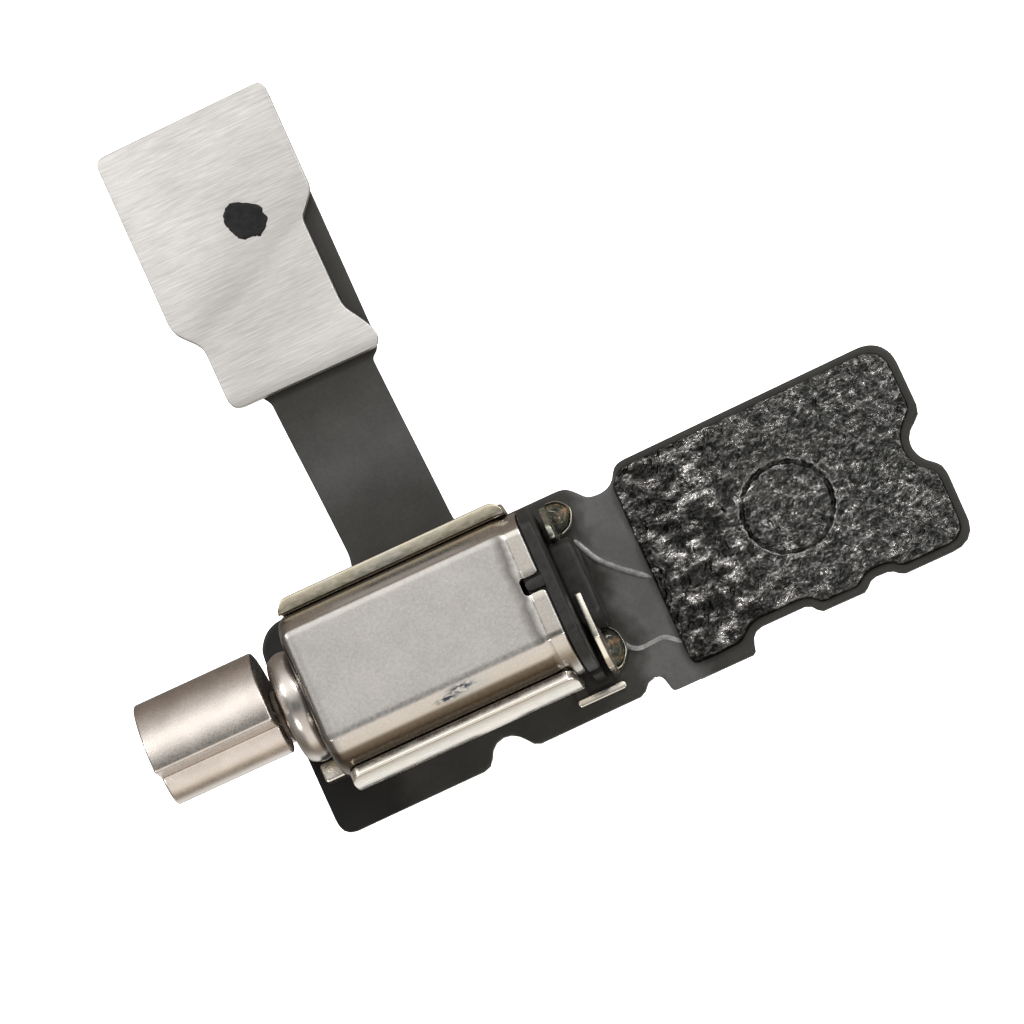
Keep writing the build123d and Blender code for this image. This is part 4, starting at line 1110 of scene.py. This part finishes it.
TAIL = [
    (-1.70, 2.52), (1.80, 2.52), (1.56, 2.56), (1.42, 2.70), (1.37, 2.96), (1.35, 3.20), (1.27, 5.15), (1.19, 7.15), (1.36, 7.26),
    (1.44, 7.46), (1.46, 7.70), (1.44, 11.30), (1.38, 13.90), (1.20, 14.20), (-2.60, 14.16), (-2.80, 13.95),
    (-2.72, 10.00), (-2.62, 9.70), (-2.30, 9.30), (-2.18, 9.00), (-2.14, 7.80), (-1.95, 7.52), (-1.55, 7.38),
    (-1.41, 7.15), (-1.31, 5.15), (-1.22, 3.20), (-1.26, 2.96), (-1.32, 2.70), (-1.46, 2.56),
]


def tail_top(x, y, d):
    edge = 0.02 * (1 - np.sqrt(np.clip(1 - (1 - np.clip(d / 0.03, 0, 1)) ** 2, 0, 1)))
    edge = edge * smooth(2.53, 2.62, y)
    return Z_TOP + tail_z(y) - edge + 0.003 * fbm(x * 1.3, y * 1.3, 3, 3) * smooth(2.5, 3.0, y) * smooth(7.3, 7.0, y)


def tail_bottom(x, y, d):
    return 0.10 + tail_z(y) + 0.012 * (1 - np.clip(d / 0.03, 0, 1)) * smooth(2.53, 2.62, y)


tail = sheet_grid("flex_tail", rounded(TAIL, 0.05, 2), 0.06, tail_top, tail_bottom, FLEX.m, angle=60)
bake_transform(tail)
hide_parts("tail_flex", "tail_end_flex")

# ---------------------------------------------------------------- pad cover
COVER_PTS = [
    (5.04, 2.05), (5.16, 2.18), (5.30, 2.34), (5.48, 2.40),
    (11.56, 2.46), (11.78, 2.40), (11.94, 2.27), (12.03, 2.08), (12.05, 1.90),
    (12.05, 0.92), (12.00, 0.76), (11.86, 0.62), (11.68, 0.44), (11.57, 0.22), (11.53, -0.02),
    (11.57, -0.28), (11.70, -0.53), (11.90, -0.70), (12.01, -0.84), (12.04, -1.00),
    (12.02, -2.10), (11.96, -2.30), (11.82, -2.44), (11.60, -2.51),
    (10.44, -2.51), (10.30, -2.44), (10.16, -2.33), (9.98, -2.29),
    (9.74, -2.28), (9.52, -2.33), (9.38, -2.44), (9.26, -2.51),
    (8.36, -2.50), (8.24, -2.38), (8.12, -2.28), (7.92, -2.23),
    (6.84, -2.23), (6.62, -2.30), (6.46, -2.44), (6.30, -2.56), (5.70, -2.60),
    (5.14, -2.58), (5.06, -2.46), (5.04, -2.20),
]
RING_C, RING_R = (8.55, -0.13), 1.06


def cover_top(x, y, d):
    wx = x + 0.22 * fbm(x * 1.3, y * 1.3, 3, 21)
    wy = y + 0.22 * fbm(x * 1.3 + 40, y * 1.3, 3, 22)
    left = smooth(8.6, 5.6, x)
    # folds lean up to the right, coarse at the left, finer at the right
    ca, sa = math.cos(math.radians(58)), math.sin(math.radians(58))
    p = wx * ca + wy * sa
    q = -wx * sa + wy * ca
    coarse = ridged(p * 1.3, q * 2.6, 3, 31, 0.5) / 1.75
    fine = ridged(p * 3.0, q * 4.4, 4, 47, 0.6) / 2.1
    cells = np.abs(gnoise(wx * 6.2, wy * 6.2, 88)) * 1.6
    tiny = fbm(wx * 13.0, wy * 13.0, 2, 61, 0.6)
    h = 0.075 + 0.085 * coarse * (0.40 + 0.75 * left) + 0.062 * fine - 0.040 * cells + 0.010 * tiny
    h += 0.020 * fbm(x * 0.7, y * 0.7, 2, 77)
    r = np.hypot(x - RING_C[0], y - RING_C[1])
    h = h - 0.060 * np.exp(-((r - RING_R) / 0.045) ** 2) + 0.030 * np.exp(-((r - RING_R - 0.11) / 0.05) ** 2)
    for rr, dd in ((0.82, 0.030), (0.56, 0.034), (0.30, 0.030)):
        h = h - dd * np.exp(-((r - rr) / 0.04) ** 2) * (0.6 + 0.8 * gnoise(x * 3.1, y * 3.1, 5))
    h = 0.02 + 0.215 * (np.tanh((h - 0.11) / 0.105) * 0.5 + 0.5)
    s = np.sqrt(np.clip(1 - (1 - np.clip(d / 0.07, 0, 1)) ** 2, 0, 1))
    return Z_TOP + 0.004 + h * s


def cover_bottom(x, y, d):
    return np.full_like(x, Z_TOP + 0.001)


cover = sheet_grid("pad_cover_film", rounded(COVER_PTS, 0.06, 2), 0.022, cover_top, cover_bottom, COVER.m, angle=80)
put(cover, "pad_end", ("pad_cover",))

# -------------------------------------------------------------- steel plate
PLATE_PTS = [
    (-2.71, 14.34), (-2.84, 14.31), (-2.93, 14.22), (-2.95, 14.10),
    (-2.88, 9.90), (-2.85, 9.70), (-2.76, 9.52), (-2.58, 9.32), (-2.44, 9.16), (-2.35, 8.98), (-2.33, 8.80),
    (-2.31, 7.62), (-2.28, 7.48), (-2.20, 7.38), (-2.06, 7.33), (-1.95, 7.32),
    (1.26, 7.29), (1.40, 7.32), (1.50, 7.42), (1.53, 7.58), (1.49, 7.76), (1.40, 7.96), (1.28, 8.16), (1.16, 8.36),
    (1.08, 8.52), (1.05, 8.72),
    (1.02, 10.82), (1.05, 10.94), (1.15, 11.06), (1.30, 11.24), (1.42, 11.40), (1.49, 11.58),
    (1.47, 14.14), (1.45, 14.28), (1.36, 14.38), (1.24, 14.40),
]
plate = prism("steel_stiffener", rounded(PLATE_PTS, 0.06, 2), "Z", 0.84, 1.04, PLATE.m, 0.035, 3, bang=50)
put(plate, "connector_end", ("steel_plate",))

# --------------------------------------------------------------------- ink
INK_PTS = [
    (-0.72, 11.59), (-0.64, 11.80), (-0.50, 11.92), (-0.36, 11.96), (-0.12, 11.84), (0.08, 11.72),
    (0.27, 11.56), (0.22, 11.38), (0.31, 11.27), (0.16, 11.05), (-0.06, 10.88), (-0.16, 10.97),
    (-0.44, 10.98), (-0.56, 11.10), (-0.67, 11.38),
]
ink_outline = rounded(INK_PTS, 0.05, 2)
io = []
for k, (x, y) in enumerate(ink_outline):
    c = Vector((x + 0.2, y - 11.42))
    r = c.length
    j = 1 + 0.018 * math.sin(k * 1.7) + 0.014 * math.sin(k * 3.1 + 1)
    io.append((-0.2 + c.x * j, 11.42 + c.y * j))


def ink_top(x, y, d):
    return 1.0405 + 0.013 * np.sqrt(np.clip(d / 0.05, 0, 1)) * (0.8 + 0.3 * fbm(x * 5, y * 5, 2, 9))


ink = sheet_grid("inspection_dot", io, 0.03, ink_top, lambda x, y, d: np.full_like(x, 1.0401), INK.m, angle=60)
put(ink, "connector_end", ("ink_mark",))

# ----------------------------------------------- CAD nodes that stay as made
for node, mat in (
    ("base_stiffener", FILM), ("base_adhesive", TAPE), ("pad_stiffener", FILM), ("pad_adhesive", TAPE), ("pad_disc", DISC),
    ("plate_adhesive", TAPE), ("connector_body", LCP), ("connector_contacts", GOLD), ("bearing_tube", BRONZE), ("magnet", MAGNET),
    ("armature_coil", COPPER), ("coil_holder", CAP), ("commutator", GOLD), ("rear_bearing", BRONZE), ("brush_pos", GOLD), ("brush_neg", GOLD),
):
    set_mat(node, mat.m)

# ------------------------------------------------------------ camera, light
R = ((0.90692214, 0.41760912, 0.05563145), (-0.39401688, 0.8875118, -0.23890061), (-0.14914064, 0.19474453, 0.96944914))
C = (10.09132321, -29.33364258, 129.41954754)
cam = bpy.data.cameras.new("camera")
cam.sensor_width = 36.0
cam.lens = 201.66562
cam.clip_start, cam.clip_end = 0.005, 5.0
camo = link(bpy.data.objects.new("camera", cam))
camo.matrix_world = Matrix(((R[0][0], R[0][1], R[0][2], C[0] * MM), (R[1][0], R[1][1], R[1][2], C[1] * MM), (R[2][0], R[2][1], R[2][2], C[2] * MM), (0, 0, 0, 1)))
scene.camera = camo

scene.view_settings.view_transform = "Standard"
scene.view_settings.look = "None"
scene.view_settings.exposure = 0.0


def area(name, loc, target, size, power, color=(1, 1, 1), size_y=None):
    li = bpy.data.lights.new(name, "AREA")
    li.energy = power
    li.color = color
    li.shape = "RECTANGLE" if size_y else "SQUARE"
    li.size = size * MM
    if size_y:
        li.size_y = size_y * MM
    ob = link(bpy.data.objects.new(name, li))
    ob.location = Vector(loc) * MM
    d = (Vector(target) - Vector(loc)) * MM
    ob.rotation_euler = d.to_track_quat("-Z", "Y").to_euler()
    return ob


T = (3, 4, 1)


def at_dir(az, polar, dist):
    """A place seen from the object: azimuth from +X towards +Y, polar angle from straight up."""
    a, p = math.radians(az), math.radians(polar)
    return (T[0] + dist * math.sin(p) * math.cos(a), T[1] + dist * math.sin(p) * math.sin(a), dist * math.cos(p))


# four small lamps off the motor's own planes, which pick out the crumpled film
area("lamp_back_left", at_dir(142, 52, 260), T, 42, 0.20, (1.0, 0.99, 0.97))
area("lamp_back_right", at_dir(40, 50, 260), T, 38, 0.16, (1.0, 0.99, 0.97))
area("lamp_front_left", at_dir(222, 58, 260), T, 36, 0.13, (1.0, 0.98, 0.95))
area("lamp_front_right", at_dir(318, 56, 260), T, 36, 0.13, (1.0, 0.99, 0.98))

# the room: soft boxes above the far side and beside the near side, a dark card
# round the lens, a dim table beyond and a bright one close by
PSI = [
    (-180, (0.30, 0.27, 0.24)), (-150, (0.22, 0.195, 0.17)), (-125, (0.25, 0.215, 0.185)), (-108, (0.33, 0.28, 0.24)),
    (-95, (0.44, 0.38, 0.33)), (-80, (0.62, 0.58, 0.53)), (-66, (0.85, 0.81, 0.77)), (-54, (1.50, 1.46, 1.42)),
    (-42, (1.95, 1.91, 1.86)), (-26, (1.95, 1.91, 1.86)), (-15, (1.15, 1.13, 1.10)), (-6, (0.70, 0.69, 0.67)), (-1, (0.25, 0.25, 0.24)),
    (4, (0.17, 0.18, 0.165)), (14, (0.18, 0.185, 0.17)), (21, (0.55, 0.53, 0.50)), (31, (0.95, 0.90, 0.86)),
    (50, (1.20, 1.13, 1.06)), (75, (1.40, 1.33, 1.25)), (92, (1.35, 1.26, 1.14)), (100, (0.85, 0.75, 0.62)),
    (112, (0.42, 0.35, 0.27)), (128, (0.45, 0.40, 0.34)), (142, (1.10, 1.08, 1.05)), (160, (1.25, 1.24, 1.20)),
    (172, (0.80, 0.77, 0.72)), (180, (0.30, 0.27, 0.24)),
]
SIDE = [
    (-1.0, (0.60, 0.57, 0.53)), (-0.75, (0.45, 0.42, 0.38)), (-0.35, (0.24, 0.21, 0.18)), (-0.05, (0.30, 0.27, 0.24)),
    (0.10, (0.42, 0.40, 0.38)), (0.45, (0.32, 0.315, 0.305)), (0.80, (0.36, 0.355, 0.345)), (1.0, (0.45, 0.445, 0.435)),
]
world = bpy.data.worlds.new("studio")
scene.world = world
world.use_nodes = True
wn = world.node_tree
wn.nodes.clear()


def wnode(kind, **ins):
    n = wn.nodes.new(kind)
    return n


def wmath(op, a, b=None):
    n = wn.nodes.new("ShaderNodeMath")
    n.operation = op
    for k, v in enumerate((a, b)):
        if v is None:
            continue
        if isinstance(v, (int, float)):
            n.inputs[k].default_value = v
        else:
            wn.links.new(v, n.inputs[k])
    return n.outputs[0]


def wramp(fac, stops, lo_v, hi_v):
    mr = wn.nodes.new("ShaderNodeMapRange")
    mr.inputs["From Min"].default_value = lo_v
    mr.inputs["From Max"].default_value = hi_v
    wn.links.new(fac, mr.inputs["Value"])
    rp = wn.nodes.new("ShaderNodeValToRGB")
    el = rp.color_ramp.elements
    while len(el) > 1:
        el.remove(el[-1])
    for k, (p, c) in enumerate(stops):
        q = (p - lo_v) / (hi_v - lo_v)
        e_ = el[0] if k == 0 else el.new(q)
        e_.position = q
        e_.color = (c[0] / 2, c[1] / 2, c[2] / 2, 1)
    wn.links.new(mr.outputs[0], rp.inputs[0])
    return rp.outputs[0]


wo = wn.nodes.new("ShaderNodeOutputWorld")
wb = wn.nodes.new("ShaderNodeBackground")
wt = wn.nodes.new("ShaderNodeTexCoord")
ws_ = wn.nodes.new("ShaderNodeSeparateXYZ")
wn.links.new(wt.outputs["Generated"], ws_.inputs[0])
X_, Y_, Z_ = ws_.outputs
psi = wmath("ARCTAN2", wmath("MULTIPLY", Y_, -1.0), Z_)
c_psi = wramp(psi, [(math.radians(a), c) for a, c in PSI], -math.pi, math.pi)
c_side = wramp(Z_, SIDE, -1.0, 1.0)
wx = wn.nodes.new("ShaderNodeMapRange")
wx.interpolation_type = "SMOOTHSTEP"
wx.inputs["From Min"].default_value = 0.34
wx.inputs["From Max"].default_value = 0.66
wn.links.new(wmath("ABSOLUTE", X_), wx.inputs["Value"])
wm = wn.nodes.new("ShaderNodeMix")
wm.data_type = "RGBA"
wn.links.new(wx.outputs[0], wm.inputs[0])
wn.links.new(c_psi, wm.inputs[6])
wn.links.new(c_side, wm.inputs[7])
# a narrow bright strip low on the right
strip = wn.nodes.new("ShaderNodeMapRange")
strip.interpolation_type = "SMOOTHSTEP"
strip.inputs["From Min"].default_value = 0.80
strip.inputs["From Max"].default_value = 0.93
wn.links.new(X_, strip.inputs["Value"])
ss = wmath("MULTIPLY", strip.outputs[0], wmath("GREATER_THAN", Z_, 0.02))
wm2 = wn.nodes.new("ShaderNodeMix")
wm2.data_type = "RGBA"
wn.links.new(ss, wm2.inputs[0])
wn.links.new(wm.outputs[2], wm2.inputs[6])
wm2.inputs[7].default_value = (1.5, 1.48, 1.45, 1)
wn.links.new(wm2.outputs[2], wb.inputs["Color"])
wb.inputs["Strength"].default_value = 2.0
# straight to the camera the room is plain and pale
wb2 = wn.nodes.new("ShaderNodeBackground")
wb2.inputs["Color"].default_value = (0.96, 0.96, 0.96, 1)
lp = wn.nodes.new("ShaderNodeLightPath")
wmix = wn.nodes.new("ShaderNodeMixShader")
wn.links.new(lp.outputs["Is Camera Ray"], wmix.inputs[0])
wn.links.new(wb.outputs[0], wmix.inputs[1])
wn.links.new(wb2.outputs[0], wmix.inputs[2])
wn.links.new(wmix.outputs[0], wo.inputs[0])

# floor
fm = Mat("floor_pale", (0.9, 0.9, 0.9), 0.0, 0.9, 0.0)
fm.color(fm.ramp(fm.noise(0.02, 2, 0.5), [(0.3, (0.90, 0.90, 0.90)), (0.7, (0.93, 0.93, 0.93))]))
fm.set("Emission Color", (1, 1, 1, 1))
fm.set("Emission Strength", 0.92)
# low enough for the bent ends to hang clear of it
floor = mesh_obj("floor", [(-900, -900, -11.0), (900, -900, -11.0), (900, 900, -11.0), (-900, 900, -11.0)], [(0, 1, 2, 3)], fm.m)
floor.visible_glossy = False
floor.visible_diffuse = False
